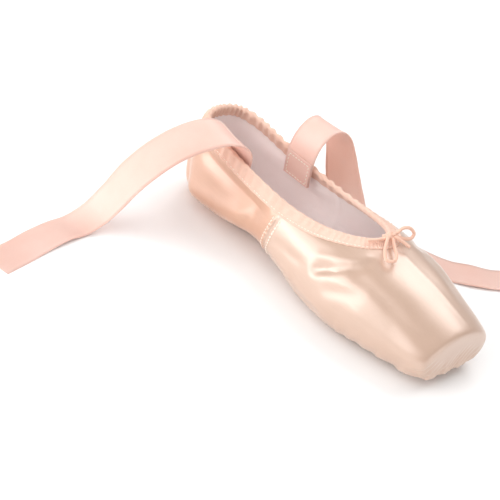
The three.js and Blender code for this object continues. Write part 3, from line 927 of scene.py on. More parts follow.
@dataclass
class Upper:
    """The satin outside and the canvas lining, with their seams and the pleats below the box."""

    columns: int = 640
    satin_rows: int = 120
    hidden_rows: int = 14
    lining_columns: int = 420
    lining_rows: int = 48
    lining_seams: tuple[float, float] = (0.44, 0.83)
    satin_depth: float = 0.9 * MM
    cloth: float = 0.5 * MM
    lining_depth: float = 1.0 * MM
    top_arc: float = 8.7 * MM
    seam_s: tuple[float, float] = (0.452, 0.425)
    seam_depth: float = 0.7 * MM
    seam_width: float = 0.8 * MM
    seam_pucker: float = 0.9
    seam_pucker_rate: float = 110
    seam_pucker_reach: float = 3 * MM
    shoulder_height: float = 0.45
    shoulder_at: float = 2.2 * MM
    shoulder_width: float = 1.4 * MM
    back_seam_depth: float = 0.3 * MM
    back_seam_width: float = 0.7 * MM
    back_seam_half: float = 0.1
    ease_run: float = 6 * MM
    top_gather: float = 0.12 * MM
    pleats: int = 15
    pleat_depth: float = 1.15 * MM
    pleat_fan: tuple[float, float] = (0.146, 0.160)
    pleat_spread: float = 150.0
    pleat_skew: float = 0.22
    pleat_top: float = 21 * MM
    pleat_fade: float = 12 * MM
    gather_start: float = 215 * MM
    gather_run: float = 6 * MM
    gather_top: float = 23 * MM
    gather_fade: float = 13 * MM
    gather_pitch: float = 4.6 * MM
    gather_slant: float = 0.95
    gather_skew: float = 0.3
    gather_depth: float = 0.95 * MM
    lining_gap: float = 0.6 * MM
    lining_seam: tuple[float, float] = (0.7 * MM, 0.006)
    lining_ripple: float = 0.1 * MM
    lining_spare: float = 0.2 * MM
    stitch_gap: float = 0.010
    stitch_pitch: float = 2.2 * MM
    stitch_size: tuple[float, float] = (1.8 * MM, 0.9 * MM)

    def seam_at(self, t: np.ndarray) -> np.ndarray:
        """Returns s of the side seam, which leans forward towards the collar."""
        top, foot = self.seam_s
        return top + (foot - top) * t

    def seam_relief(self, s: np.ndarray, t: np.ndarray, p: Points) -> np.ndarray:
        """Shapes the grooves of both side seams and of the back seam.

        Args:
            s: round the shoe.
            t: down the side.
            p: the last's points there.

        Returns:
            How far each point moves out.
        """
        away = np.abs(p[:, 0] - LAST.form(self.seam_at(t), t)[:, 0])
        pucker = 1 + self.seam_pucker * np.sin(t * self.seam_pucker_rate) * bell(
            away, self.seam_pucker_reach)
        shoulder = self.shoulder_height * bell(away - self.shoulder_at, self.shoulder_width)
        side = self.seam_depth * (shoulder * pucker - bell(away, self.seam_width))
        back = np.where(folded(s) < self.back_seam_half, np.abs(p[:, 1]), 1.0)
        heel = bell(back, self.back_seam_width) * np.clip((0.95 - t) * 8, 0, 1)
        return side * np.clip((0.97 - t) * 12, 0, 1) - self.back_seam_depth * heel

    def pleat_relief(self, t: np.ndarray, p: Points) -> np.ndarray:
        """Shapes the fan of folds that gathers the satin from the sole's front to the box.

        Args:
            t: down the side.
            p: the last's points there.

        Returns:
            How far each point moves out.
        """
        centre, start = self.pleat_fan
        angle = np.arctan2(p[:, 1], p[:, 0] - centre)
        turn = (self.pleats * (angle / math.radians(self.pleat_spread) + 0.5)
                + 0.35 * np.sin(3 * angle + 1))
        ahead = ramp(p[:, 0], start, self.pleat_fade)
        low = ramp(-p[:, 2], -self.pleat_top, self.pleat_fade)
        under = ramp(t, 0.50, 0.12)
        uneven = 0.75 + 0.25 * np.sin(7.3 * np.floor(turn) + 2)
        fold = ease_in_out(saw(turn, self.pleat_skew))
        return self.pleat_depth * fold * ahead * low * under * uneven

    def toe_gathers(self, p: Points) -> np.ndarray:
        """Shapes the small slanted folds at the foot of the toe's flat face.

        Args:
            p: the last's points.

        Returns:
            How far each point moves in.
        """
        face = ramp(p[:, 0], self.gather_start, self.gather_run)
        top = self.gather_top + 3 * MM * np.sin(p[:, 1] / (4.7 * MM))
        low = ramp(-p[:, 2], -top, self.gather_fade)
        turn = ((p[:, 1] - self.gather_slant * p[:, 2]) / self.gather_pitch
                + 0.35 * np.sin(p[:, 1] / (6 * MM)))
        return self.gather_depth * saw(turn, self.gather_skew) * face * ease_in_out(low)

    def ease(self, s: np.ndarray, t: np.ndarray) -> np.ndarray:
        """Returns 0 at the edge under the binding and 1 a little below it."""
        return ramp(LAST_ARC.at(s, t), self.top_arc, self.ease_run)

    def relief(self, s: np.ndarray, t: np.ndarray) -> np.ndarray:
        """Adds up the satin's seams, folds and creases.

        Args:
            s: round the shoe.
            t: down the side.

        Returns:
            How far the satin stands off the last at each point.
        """
        p = LAST.form(s, t)
        total = (self.seam_relief(s, t, p) + self.pleat_relief(t, p) - self.toe_gathers(p)
                 + all_creases(p))
        ease = self.ease(s, t)
        gather = np.sin(84 * np.pi * s + 2 * np.sin(10 * np.pi * s)) * (1 - ease)
        held = np.clip(1.2 * np.abs(s - 1) - 0.3, 0.02, 1)
        return total * ease + self.top_gather * gather * held

    def crowd(self, s: np.ndarray) -> np.ndarray:
        """Moves the evenly spaced columns closer together beside the seams and at the toe.

        Args:
            s: round the shoe, evenly spaced.

        Returns:
            The moved s.
        """
        dense = np.linspace(0, 1, 2001)
        weight = (1 + 3.0 * bell(dense - self.seam_s[0], 0.022)
                  + 1.2 * ramp(dense, 0.86, 0.05) + 1.5 * bell(dense, 0.03))
        walked = np.concatenate([[0], np.cumsum((weight[1:] + weight[:-1]) / 2)])
        moved = np.interp(folded(s), walked / walked[-1], dense)
        return np.where(s > 1, 2 - moved, moved)

    def place_satin(self, s: np.ndarray, row: np.ndarray) -> Points:
        """Places the satin: its outside has the relief, its inside stays at least a cloth away.

        Args:
            s: round the shoe.
            row: the cross-section's row for each point.

        Returns:
            The points.
        """
        s = self.crowd(s)
        top = LAST.t_at(s, self.top_arc)
        t = top + (1 - top) * row[:, 0]
        outside = -self.relief(s, t)
        inside = np.maximum(self.satin_depth, outside + self.cloth)
        return LAST.under(s, t, np.where(row[:, 1] > 0.5, inside, outside))

    def place_lining(self, s: np.ndarray, row: np.ndarray) -> Points:
        """Places the lining, which steps at its two seams and gives way behind deep creases.

        Args:
            s: round the shoe.
            row: the cross-section's row for each point.

        Returns:
            The points.
        """
        top = LAST.t_at(s, self.top_arc + self.lining_gap)
        t = top + (1 - top) * row[:, 0]
        p = LAST.form(s, t)
        give = np.maximum(0, -all_creases(p) * self.ease(s, t) - self.lining_spare)
        height, width = self.lining_seam
        seam = sum(bell(folded(s) - at, width) for at in self.lining_seams)
        ripple = self.lining_ripple * np.sin(p[:, 0] * 700) * np.sin(t * 25)
        inner = LAST.wall_at(p[:, 0]) + give + height * seam - ripple
        return LAST.under(s, t, np.where(row[:, 1] > 0.5, inner, self.lining_depth + give))

    def build(self, dresser: Dresser) -> None:
        """Builds the satin, the lining and the two light rows of stitches beside each side seam.

        Args:
            dresser: dresses the pieces.
        """
        satin = ring_piece("upper_satin", self.columns,
                           two_faces(self.satin_rows, self.hidden_rows), self.place_satin)
        dresser.dress(satin, SATIN, ["upper"])
        lining = ring_piece("upper_lining", self.lining_columns,
                            two_faces(self.lining_rows, self.lining_rows), self.place_lining)
        dresser.dress(lining, LINING, ["upper"])
        t = np.linspace(0.20, 0.90, 60)
        places = [place for side in Side for gap in (-self.stitch_gap, self.stitch_gap)
                  for place in stitches_on_last(side.value * (self.seam_at(t) + gap), t,
                                                0.25 * MM, self.stitch_pitch)]
        stitches = join_copies("seam_stitches", stitch_shape(*self.stitch_size), places)
        dresser.dress(stitches, THREAD)


@dataclass
class ArcTable:
    """The length of the way down from the collar, read from a table made once."""

    columns: int = 400
    rows: int = 120
    table: np.ndarray = field(init=False)

    def __post_init__(self) -> None:
        """Measures the way down on a grid of s and t."""
        s = np.linspace(0, 1, self.columns + 1)
        t = np.linspace(0, 1, self.rows + 1)
        grid = LAST.form(np.repeat(s, len(t)), np.tile(t, len(s))).reshape(len(s), len(t), 3)
        steps = np.linalg.norm(np.diff(grid, axis=1), axis=2)
        self.table = np.concatenate([np.zeros((len(s), 1)), np.cumsum(steps, axis=1)], axis=1)

    def at(self, s: np.ndarray, t: np.ndarray) -> np.ndarray:
        """Reads the table.

        Args:
            s: round the shoe.
            t: down the side.

        Returns:
            The length of the way down from the collar at each s and t.
        """
        fold = folded(s) * self.columns
        down = np.clip(t, 0, 1) * self.rows
        i = np.clip(fold.astype(int), 0, self.columns - 1)
        j = np.clip(down.astype(int), 0, self.rows - 1)
        a, b = fold - i, down - j
        near = self.table[i, j] * (1 - b) + self.table[i, j + 1] * b
        far = self.table[i + 1, j] * (1 - b) + self.table[i + 1, j + 1] * b
        return near * (1 - a) + far * a


LAST_ARC = ArcTable()


# ---------------------------------------------------------------- the binding

@dataclass
class Binding:
    """The tape folded over the collar, drawn up into small puckers by its cord."""

    columns: int = 640
    height: float = 9 * MM
    pucker: float = 1.0 * MM
    puckers: int = 82
    least: float = 0.16
    near_extra: float = 0.22
    wave_share: float = 0.95
    fine_share: float = 0.12
    held_at: float = 0.82
    held_width: float = 0.10
    held_share: float = 0.45
    inside_from: float = 1.2 * MM
    inside_share: float = 0.8
    stitch_arc: float = 7.6 * MM
    stitch_pitch: float = 2.4 * MM
    stitch_size: tuple[float, float] = (1.7 * MM, 0.42 * MM)
    section: tuple[tuple[float, float], ...] = (
        (1.00, 0.10), (1.00, -0.30), (0.95, -0.44), (0.90, -0.42), (0.86, -0.30), (0.82, -0.22),
        (0.78, -0.32), (0.70, -0.46), (0.60, -0.48), (0.50, -0.46), (0.40, -0.50), (0.30, -0.62),
        (0.22, -0.74), (0.15, -0.74), (0.09, -0.56), (0.04, -0.16), (0.00, 0.45), (-0.02, 1.00),
        (-0.02, 1.45), (0.01, 2.00), (0.06, 2.44), (0.15, 2.70), (0.30, 2.74), (0.50, 2.66),
        (0.70, 2.62), (0.78, 2.52), (0.82, 2.40), (0.86, 2.48), (0.92, 2.60), (1.00, 2.56),
        (1.00, 1.60), (1.00, 0.90))

    def strength(self, s: np.ndarray) -> np.ndarray:
        """Tells how strongly the tape is gathered: most at the heel, least at the throat.

        Args:
            s: round the shoe.

        Returns:
            A factor for each s.
        """
        fold = folded(s)
        near = np.where(s < 1, self.near_extra, 0) * np.clip(1 - np.abs(fold - 0.45) * 3, 0, 1)
        return np.clip(1.15 - 1.5 * fold, self.least, 1) + near

    def gather(self, s: np.ndarray, share: np.ndarray, inside: np.ndarray) -> np.ndarray:
        """Shapes the puckers, which the row of stitches holds down.

        Args:
            s: round the shoe.
            share: down the tape, 0 at its fold.
            inside: 1 inside the shoe, 0 outside.

        Returns:
            The puckers' height at each point.
        """
        turn = s * self.puckers / 2
        wave = np.sin(2 * np.pi * turn + 1.7 * np.sin(7 * np.pi * s) + 0.9 * np.sin(19 * np.pi * s)
                      + 1.2 * (share - 0.4))
        fine = np.sin(4.6 * np.pi * turn + 2 * np.sin(5 * np.pi * s) + 3 * inside)
        held = 1 - self.held_share * bell(share - self.held_at, self.held_width)
        edge = 0.6 + 0.4 * np.sin(np.clip(share, 0, 1) * np.pi)
        return self.pucker * self.strength(s) * (
            self.wave_share * wave + self.fine_share * fine) * edge * held

    def place(self, s: np.ndarray, row: np.ndarray) -> Points:
        """Places the tape from its cross-section.

        Args:
            s: round the shoe.
            row: the cross-section's row for each point.

        Returns:
            The points.
        """
        share, depth = row[:, 0], row[:, 1] * MM
        inside = np.where(depth > self.inside_from, 1.0, 0.0)
        lift = self.gather(s, share, inside)
        sign = np.where(inside > 0.5, self.inside_share, -1.0)
        t = LAST.t_at(s, np.clip(share, 0, 1) * self.height)
        points = LAST.under(s, t, depth + sign * lift * ramp(share, 0, 0.12))
        top = np.clip(1 - share / 0.15, 0, 1)
        points[:, 2] += top * (lift * 0.6 - np.clip(share, -1, 0) * self.height)
        points[:, 2] += np.where(share > 0.93, 0.25 * lift, 0)
        return points

    def build(self, dresser: Dresser) -> None:
        """Builds the tape and the row of stitches near its lower edge.

        Args:
            dresser: dresses the pieces.
        """
        tape = ring_piece("binding_tape", self.columns, np.array(self.section), self.place)
        dresser.dress(tape, TAPE, ["binding"])
        s = np.linspace(0.004, 1.996, 900)
        places = stitches_on_last(s, LAST.t_at(s, self.stitch_arc), 0.30 * MM, self.stitch_pitch)
        stitches = join_copies("binding_stitches", stitch_shape(*self.stitch_size), places)
        dresser.dress(stitches, THREAD)


# ---------------------------------------------------------------- the soles

Outline = tuple[tuple[float, float], ...]


def read_outline(outline: Outline, x: np.ndarray) -> np.ndarray:
    """Reads the half width of an outline.

    Args:
        outline: pairs of shares, of the length and of half the ball's width.
        x: from the heel's back.

    Returns:
        A half width for each x.
    """
    table = np.array(outline)
    across = table[:, 1] * LAST.ball_width / 2
    at = np.interp(x / LAST.length, table[:, 0], np.arange(len(table)))
    rows = np.concatenate([2 * across[:1] - across[1:2], across, 2 * across[-1:] - across[-2:-1]])
    return np.maximum(catmull(rows[:, None], at + 1)[:, 0], 0)


@dataclass
class Slab:
    """A thin board cut to an outline and bent along the sole line."""

    name: str
    outline: Outline
    low: Callable[[np.ndarray], np.ndarray]
    thickness: float
    bevel: float
    columns: int = 150
    rows: int = 20
    end_round: float = 3.5 * MM
    rim_angle: float = 0.9

    def ends(self) -> tuple[float, float]:
        """Returns x of the outline's back and front."""
        return self.outline[0][0] * LAST.length, self.outline[-1][0] * LAST.length

    def spaced(self, u: np.ndarray) -> np.ndarray:
        """Returns x for u from 0 to 1, closer together near both ends."""
        start, stop = self.ends()
        return start + (stop - start) * (0.5 - 0.5 * np.cos(np.pi * u))

    def half_width(self, x: np.ndarray) -> np.ndarray:
        """Reads the outline, rounded off at both ends.

        Args:
            x: from the heel's back.

        Returns:
            A half width for each x.
        """
        start, stop = self.ends()
        near_end = np.clip(np.minimum(x - start, stop - x) / self.end_round, 0, 1)
        return read_outline(self.outline, x) * np.sqrt(1 - (1 - near_end) ** 2)

    def build(self) -> bpy.types.Object:
        """Builds the board: a bent sheet, extruded, with its rim bevelled.

        Returns:
            The board as an object.
        """
        def place(u: np.ndarray, v: np.ndarray) -> Points:
            """Places the board's underside.

            Args:
                u: along the shoe, from 0 to 1.
                v: across it, from 0 to 1.

            Returns:
                The points.
            """
            x = self.spaced(u)
            y = (2 * v - 1) * self.half_width(x)
            return LAST.placed(np.stack([x, y, self.low(x)], axis=1))

        bm = grid_bmesh(self.columns, self.rows, place)
        bmesh.ops.remove_doubles(bm, verts=bm.verts, dist=1e-6)
        top = bmesh.ops.extrude_face_region(bm, geom=bm.faces[:])["geom"]
        raised = [item for item in top if isinstance(item, bmesh.types.BMVert)]
        bmesh.ops.translate(bm, vec=(0, 0, self.thickness), verts=raised)
        bmesh.ops.recalc_face_normals(bm, faces=bm.faces)
        rim = [edge for edge in bm.edges if len(edge.link_faces) == 2
               and edge.link_faces[0].normal.angle(edge.link_faces[1].normal, 0)
               > self.rim_angle]
        bmesh.ops.bevel(bm, geom=rim, offset=self.bevel, segments=3, affect="EDGES",
                        profile=0.5, material=-1, clamp_overlap=True)
        return finish_object(self.name, bm)


@dataclass
class Soles:
    """The suede outsole with its sewn channel, and the insole board with its cover."""

    outsole: Outline = (
        (0.027, 0.10), (0.035, 0.24), (0.058, 0.36), (0.110, 0.436), (0.190, 0.41),
        (0.280, 0.36), (0.360, 0.345), (0.440, 0.385), (0.530, 0.52), (0.610, 0.63),
        (0.670, 0.665), (0.720, 0.62), (0.757, 0.50), (0.779, 0.33), (0.787, 0.12))
    insole: Outline = (
        (0.049, 0.10), (0.060, 0.24), (0.085, 0.36), (0.130, 0.435), (0.210, 0.43),
        (0.330, 0.42), (0.440, 0.50), (0.550, 0.64), (0.650, 0.70), (0.740, 0.66),
        (0.800, 0.57), (0.845, 0.44), (0.865, 0.24), (0.872, 0.10))
    outsole_thick: float = 2.6 * MM
    insole_thick: float = 1.6 * MM
    insole_floor: float = 5.5 * MM
    seam_inset: float = 4.5 * MM
    row_gap: float = 2.2 * MM
    second_row_from: float = 0.60
    stitch_rise: float = 0.10 * MM
    stitch_pitch: float = 3.6 * MM
    stitch_size: tuple[float, float] = (2.6 * MM, 0.8 * MM)

    def insole_low(self, x: np.ndarray) -> np.ndarray:
        """Returns the insole's underside, on the lining."""
        rise = 1.2 * MM * ramp(x, 0.76 * LAST.length, 0.11 * LAST.length)
        return self.insole_floor + LAST.sole_lift(x) + LAST.wall_at(x) - LAST.wall + rise

    def seam_line(self, inset: float) -> Points:
        """Draws a line round the outsole's underside.

        Args:
            inset: how far in from the rim.

        Returns:
            The line's points, from the heel's back.
        """
        board = Slab("line", self.outsole, LAST.sole_lift, 0, 0)
        x = board.spaced(np.linspace(0, 1, 400))
        y = board.half_width(x)
        rim = np.stack([np.concatenate([x, x[::-1]]), np.concatenate([y, -y[::-1]])], axis=1)
        along = np.roll(rim, -3, axis=0) - np.roll(rim, 3, axis=0)
        inward = np.stack([along[:, 1], -along[:, 0]], axis=1)
        inward /= np.linalg.norm(inward, axis=1, keepdims=True) + 1e-12
        line = rim + inward * inset
        gap = np.linalg.norm(line[:, None] - rim[None, ::4], axis=2).min(axis=1)
        line = line[gap > inset * 0.97]
        return np.stack([line[:, 0], line[:, 1], LAST.sole_lift(line[:, 0])], axis=1)

    def build(self, dresser: Dresser) -> None:
        """Builds the boards and the outsole's stitches.

        Args:
            dresser: dresses the pieces.
        """
        outsole = Slab("outsole_suede", self.outsole, LAST.sole_lift, self.outsole_thick,
                       0.7 * MM).build()
        dresser.dress(outsole, LEATHER, ["outsole"])
        insole = Slab("insole_cover", self.insole, self.insole_low, self.insole_thick,
                      0.4 * MM).build()
        dresser.dress(insole, LINING, ["insole"])
        places: Stitches = []
        for inset, first in ((self.seam_inset, 0),
                             (self.seam_inset + self.row_gap, self.second_row_from)):
            line = self.seam_line(inset)
            line = line[line[:, 0] > first * LAST.length]
            points = LAST.placed(line) + np.array([0, 0, self.stitch_rise])
            places += stitch_row(points, lambda m: np.tile([0, 0, -1.0], (len(m), 1)),
                                 self.stitch_pitch)
        stitches = join_copies("outsole_stitches", stitch_shape(*self.stitch_size), places)
        dresser.dress(stitches, SOLE_THREAD)


# ---------------------------------------------------------------- ribbons and cord

Route = tuple[tuple[float, ...], ...]


@dataclass
class Ribbon:
    """One satin ribbon, from its sewn tab inside the quarter to its cut end on the floor.

    A station is x, y, z in millimetres from the heel's back, then the width's turn in plan
    and its rise, both in degrees.
    """

    name: str
    node: str
    stations: Route
    width: float = 22 * MM
    thickness: float = 0.45 * MM
    steps: int = 14
    across: int = 10
    tab_length: float = 17 * MM
    tab_off: float = 0.75 * MM
    wave: float = 0.5 * MM
    stitch_off: float = 1.05 * MM
    stitch_inset: float = 2.2 * MM
    stitch_pitch: float = 2.6 * MM
    stitch_size: tuple[float, float] = (1.9 * MM, 0.6 * MM)

    def frames(self) -> tuple[Points, Points, Points]:
        """Reads the stations as a smooth strip.

        Returns:
            The middle line, the width's direction and the face's direction.
        """
        rows = np.array(self.stations, dtype=float)
        rows = np.concatenate([rows[:1], rows, rows[-1:]])
        u = np.linspace(0, 1, self.steps * (len(rows) - 3) + 1)

        def at(share: np.ndarray) -> np.ndarray:
            """Returns the stations' values at that share of the ribbon."""
            return catmull(rows, 1 + share * (len(rows) - 3))

        middle = at(u)
        along = at(np.minimum(u + 1e-3, 1))[:, :3] - at(np.maximum(u - 1e-3, 0))[:, :3]
        along /= np.linalg.norm(along, axis=1, keepdims=True)
        plan, rise = np.radians(middle[:, 3]), np.radians(middle[:, 4])
        across = np.stack([np.cos(plan) * np.cos(rise), np.sin(plan) * np.cos(rise),
                           np.sin(rise)], axis=1)
        across -= along * (across * along).sum(axis=1, keepdims=True)
        across /= np.linalg.norm(across, axis=1, keepdims=True)
        return LAST.placed(middle[:, :3] * MM), across, np.cross(along, across)

    def section(self) -> np.ndarray:
        """Returns the closed cross-section: shares of the half width and of the thickness."""
        over = np.linspace(-1, 1, self.across + 1)
        thick = 0.5 + 0.25 * (np.abs(over) > 0.93)
        return np.concatenate([np.stack([over, thick], axis=1),
                               np.stack([over[::-1], -thick[::-1]], axis=1)])

    def sweep(self, name: str, middle: Points, across: Points, face: Points,
              width: float, flutter: float) -> bpy.types.Object:
        """Sweeps the cross-section along a line into a closed strip.

        Args:
            name: the piece's name.
            middle: the line.
            across: the width's direction at each of its points.
            face: the face's direction at each of its points.
            width: the strip's width.
            flutter: how far its edges stray from flat.

        Returns:
            The strip as an object.
        """
        section, walked = self.section(), distances(middle)

        def place(u: np.ndarray, v: np.ndarray) -> Points:
            """Places the strip, no point of it below the floor.

            Args:
                u: along the strip, from 0 to 1.
                v: round its cross-section, from 0 to 1.

            Returns:
                The points.
            """
            i = np.round(u * (len(middle) - 1)).astype(int)
            row = section[np.round(v * len(section)).astype(int) % len(section)]
            curl = flutter * (0.6 * row[:, 0] ** 2 * np.sin(walked[i] / (23 * MM) + 2 * row[:, 0])
                              + 0.4 * np.sin(walked[i] / (9 * MM)) * row[:, 0])
            points = (middle[i] + across[i] * (row[:, :1] * width / 2)
                      + face[i] * (row[:, 1:] * self.thickness + curl[:, None]))
            points[:, 2] = np.maximum(points[:, 2], 0)
            return points

        return closed_strip(name, len(middle) - 1, len(section), place)

    def build(self, dresser: Dresser) -> None:
        """Builds the ribbon, the folded layer of its tab and the tab's stitches.

        Args:
            dresser: dresses the pieces.
        """
        middle, across, face = self.frames()
        ribbon = self.sweep(self.name, middle, across, face, self.width, self.wave)
        dresser.dress(ribbon, RIBBON, [self.node])
        inner = 1 if face[0, 1] * middle[0, 1] < 0 else -1
        near = distances(middle) < self.tab_length
        lift = face[near] * inner
        tab = self.sweep(self.name + "_tab", middle[near] + lift * self.tab_off, across[near],
                         face[near], self.width * 0.985, 0)
        dresser.dress(tab, RIBBON)
        stitches = self.tab_stitches(middle[near] + lift * self.stitch_off, across[near], lift)
        dresser.dress(stitches, THREAD)

    def tab_stitches(self, middle: Points, across: Points, face: Points) -> bpy.types.Object:
        """Builds the box of stitches that holds the tab, a little inside its rim.

        Args:
            middle: the tab's middle line.
            across: the width's direction at each of its points.
            face: the way the stitches face at each of its points.

        Returns:
            The stitches as one object.
        """
        reach = self.width / 2 - self.stitch_inset
        first, last = 3, len(middle) - 4
        box = [middle[i] + across[i] * side * reach
               for side, order in ((-1, range(first, last + 1)), (1, range(last, first - 1, -1)))
               for i in order]
        line = np.array(box + [box[0]])
        normal = face.mean(axis=0)
        places = stitch_row(line, lambda m: np.tile(normal, (len(m), 1)),
                            self.stitch_pitch)
        return join_copies(self.name + "_stitches", stitch_shape(*self.stitch_size), places)


RIBBON_NEAR = Ribbon("ribbon_near_satin", "ribbon_near", (
    (46, -16.8, 35, 0, 0), (46, -16.3, 45, 0, 0), (46.3, -17.6, 55, 0, -4),
    (45.5, -23.5, 62.5, 0, -10), (43, -34, 66.5, 0, -16), (39.5, -47, 65, 0, -20),
    (35.5, -60, 59.5, 0, -20), (30.5, -71.5, 49.5, 0, -18), (25, -81, 36, 0, -12),
    (20, -88.5, 20.5, 0, -6), (15.5, -96, 8, 2, 0), (13.5, -107, 1.4, 4, 0),
    (14.5, -121, 2.0, 6, 2), (17, -137, 1.4, 8, -1), (20.5, -153, 0.6, 9, 0),
    (24.5, -172, 0.6, 10, 0)))
RIBBON_FAR = Ribbon("ribbon_far_satin", "ribbon_far", (
    (66, 17.4, 34, 0, 0), (66, 16.7, 44, 0, 0), (66, 17.2, 54, 0, 0), (66.2, 20.5, 63, 0, 0),
    (66.6, 27, 69.5, 0, 0), (67.2, 35, 70, 2, 0), (68.5, 42, 63.5, 6, 0), (71, 46.5, 51, 14, 0),
    (74.5, 49.5, 36, 28, 0), (80, 52.5, 20.5, 50, 0), (89, 56, 7.5, 78, 0),
    (102, 60.5, 1.4, 98, 0), (119, 66, 2.2, 106, 2), (136, 72.5, 1.4, 114, -1),
    (151, 80.5, 0.8, 124, 0), (163, 90.5, 1.8, 134, 2), (173, 103, 0.8, 144, -1),
    (181, 116, 0.6, 148, 0)))


@dataclass
class DrawString:
    """The collar's thin cord: two lengths that leave the throat and are tied in a bow."""

    diameter: float = 2.0 * MM
    sides: int = 14
    knot_at: tuple[float, float, float] = (159.5, 0, 57.4)
    knot_size: float = 0.76 * MM
    near: Route = (
        (154.6, -1.4, 54.4), (156.8, -1.3, 56.0), (158.6, -2.0, 57.3), (160.4, -4.1, 57.6),
        (163, -7.5, 56.4), (166.5, -11.5, 54.2), (171, -14, 52.4), (174, -11, 52.6),
        (171.5, -6.8, 53.6), (166.5, -3.6, 54.9), (163, -1.6, 56.2), (160.6, 0.2, 57.2),
        (162.8, 1.4, 57.6), (166, 3.4, 56.2), (170, 6, 54.2))
    far: Route = (
        (154.6, 1.4, 54.4), (156.8, 1.3, 56.2), (158.4, 2.0, 57.8), (159.8, 3.9, 58.4),
        (160, 8, 60.6), (161.5, 12.5, 60.2), (163.5, 15, 57), (164, 12.5, 54.6),
        (162.6, 8, 55), (161, 4.2, 56.2), (159.6, 0.6, 57.0), (158.8, -4, 56.4),
        (156.6, -8, 55.2), (153, -12, 53.9))

    def tube(self, name: str, points: Points, closed: bool) -> bpy.types.Object:
        """Sweeps a round section along points.

        Args:
            name: the piece's name.
            points: the cord's middle line.
            closed: whether its end joins its start.

        Returns:
            The cord as an object.
        """
        ahead = np.roll(points, -1, axis=0) - np.roll(points, 1, axis=0)
        if not closed:
            ahead[0], ahead[-1] = points[1] - points[0], points[-1] - points[-2]
        ahead /= np.linalg.norm(ahead, axis=1, keepdims=True)
        up = np.zeros_like(points)
        up[0] = np.cross(ahead[0], [0.3, 0.2, 1.0])
        for i in range(1, len(points)):
            up[i] = up[i - 1] - ahead[i] * np.dot(up[i - 1], ahead[i])
            up[i] /= np.linalg.norm(up[i])
        up[0] /= np.linalg.norm(up[0])
        side = np.cross(ahead, up)
        count = len(points) if closed else len(points) - 1

        def place(u: np.ndarray, v: np.ndarray) -> Points:
            """Places points round the cord, drawn in a little at open ends.

            Args:
                u: along the cord, from 0 to 1.
                v: round it, from 0 to 1.

            Returns:
                The points.
            """
            i = np.round(u * count).astype(int) % len(points)
            angle = 2 * np.pi * (np.round(v * self.sides) % self.sides) / self.sides
            reach = np.full(len(u), self.diameter / 2)
            if not closed:
                reach *= np.clip(np.minimum(i, count - i) * 0.45 + 0.55, 0, 1)
            return points[i] + reach[:, None] * (up[i] * np.cos(angle)[:, None]
                                                 + side[i] * np.sin(angle)[:, None])

        return closed_strip(name, count, self.sides, place)

    def knot_line(self) -> Points:
        """Returns the closed line of the overhand knot."""
        a = np.linspace(0, 2 * np.pi, 91)[:-1]
        line = np.stack([-np.sin(3 * a) * 1.2, np.sin(a) + 2 * np.sin(2 * a),
                         np.cos(a) - 2 * np.cos(2 * a)], axis=1) * self.knot_size
        return LAST.placed(line + np.array(self.knot_at) * MM)

    def build(self, dresser: Dresser) -> None:
        """Builds both lengths and the knot between them.

        Args:
            dresser: dresses the pieces.
        """
        knot = self.tube("drawstring_bow_knot", self.knot_line(), True)
        dresser.dress(knot, CORD, ["drawstring_knot"])
        for name, route, nodes, parts in (
                ("drawstring_near", self.near,
                 ("drawstring_loop_near", "drawstring_end_far"), [knot]),
                ("drawstring_far", self.far,
                 ("drawstring_loop_far", "drawstring_end_near"), [])):
            points = LAST.placed(tube_points(route, 160) * MM)
            piece = self.tube(name, points, False)
            dresser.dress(piece, CORD, nodes)


# ---------------------------------------------------------------- the studio

# A name, the way to it from the shoe, its size, its power and whether the satin mirrors it.
Softbox = tuple[str, tuple[float, float, float], tuple[float, float], float, bool]


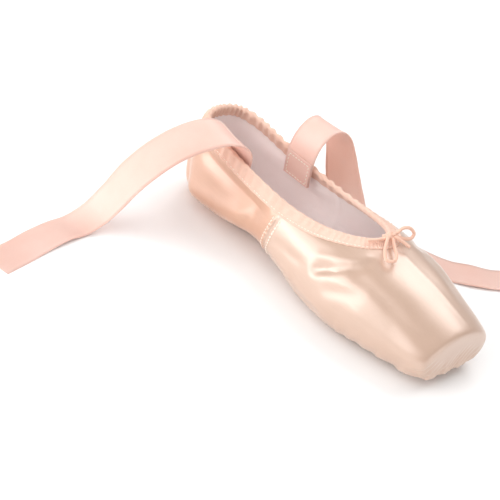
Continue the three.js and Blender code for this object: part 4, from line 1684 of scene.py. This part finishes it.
@dataclass
class Studio:
    """A pale floor, soft light from above and a camera that looks down on the toe."""

    azimuth: float = 41.0
    elevation: float = 34.0
    roll: float = 14.0
    distance: float = 0.9
    lens: float = 108.7
    target: tuple[float, float, float] = (-0.0239, -0.0350, 0.0111)
    sensor: float = 36.0
    clip: float = 0.05
    softbox_distance: float = 1.3
    softbox_height: float = 0.03
    sky: float = 0.27
    boxes: tuple[Softbox, ...] = (
        ("back_softbox", (-0.10, 0.60, 0.80), (1.3, 0.75), 10.0, True),
        ("near_softbox", (-0.36, -0.82, 0.42), (1.4, 0.95), 9.5, True),
        ("low_softbox", (-0.62, -0.78, 0.14), (0.9, 0.28), 3.2, True),
        ("toe_softbox", (0.95, 0.12, 0.22), (0.9, 0.5), 2.6, True),
        ("even_light", (0.1, -0.4, 0.95), (2.2, 2.2), 12.5, False))

    def floor(self) -> None:
        """Lays the floor."""
        bm = bmesh.new()
        bmesh.ops.create_grid(bm, x_segments=2, y_segments=2, size=6.0)
        sheet = finish_object("floor", bm, smooth=False)
        sheet.data.materials.append(FLOOR.material())

    def light(self, name: str, toward: tuple[float, float, float], size: tuple[float, float],
              power: float, mirrored: bool = True) -> None:
        """Adds one softbox that faces the shoe.

        Args:
            name: the lamp's name.
            toward: the way to it from the shoe; it stands that way at the softbox distance.
            size: its width and height.
            power: in watts.
            mirrored: whether it shows as a highlight in the satin.
        """
        lamp = bpy.data.lights.new(name, "AREA")
        lamp.shape = "RECTANGLE"
        lamp.size, lamp.size_y = size
        lamp.energy = power
        box = bpy.data.objects.new(name, lamp)
        way = Vector(toward).normalized()
        box.location = Vector((0, 0, self.softbox_height)) + way * self.softbox_distance
        box.rotation_euler = (-way).to_track_quat("-Z", "Y").to_euler()
        box.visible_glossy = mirrored
        bpy.context.scene.collection.objects.link(box)

    def lights(self) -> None:
        """Adds the sky and the softboxes."""
        world = bpy.data.worlds.new("studio")
        world.use_nodes = True
        world.node_tree.nodes["Background"].inputs["Color"].default_value = (1, 1, 1, 1)
        world.node_tree.nodes["Background"].inputs["Strength"].default_value = self.sky
        bpy.context.scene.world = world
        for name, toward, size, power, mirrored in self.boxes:
            self.light(name, toward, size, power, mirrored)

    def camera(self) -> None:
        """Adds the camera, rolled a little about its own line of sight."""
        a, e, r = (math.radians(v) for v in (self.azimuth, self.elevation, self.roll))
        back = Vector((math.sin(a) * math.cos(e), -math.cos(a) * math.cos(e), math.sin(e)))
        level = Vector((math.cos(a), math.sin(a), 0))
        above = back.cross(level)
        right = level * math.cos(r) + above * math.sin(r)
        up = back.cross(right)
        data = bpy.data.cameras.new("camera")
        data.lens = self.lens
        data.sensor_width = self.sensor
        data.clip_start = self.clip
        view = bpy.data.objects.new("camera", data)
        turn = Matrix((right, up, back)).transposed().to_4x4()
        view.matrix_world = Matrix.Translation(Vector(self.target) + back * self.distance) @ turn
        bpy.context.scene.collection.objects.link(view)
        bpy.context.scene.camera = view

    def build(self) -> None:
        """Sets up the camera, the floor and the light."""
        bpy.context.scene.view_settings.view_transform = "Standard"
        self.camera()
        self.floor()
        self.lights()


def main() -> None:
    """Builds the studio and the shoe."""
    logging.basicConfig(level=logging.INFO, format="%(name)s %(message)s")
    Studio().build()
    dresser = Dresser()
    for ribbon in (RIBBON_NEAR, RIBBON_FAR):
        ribbon.build(dresser)
    DrawString().build(dresser)
    Upper().build(dresser)
    Binding().build(dresser)
    Soles().build(dresser)


if __name__ == "__main__":
    main()
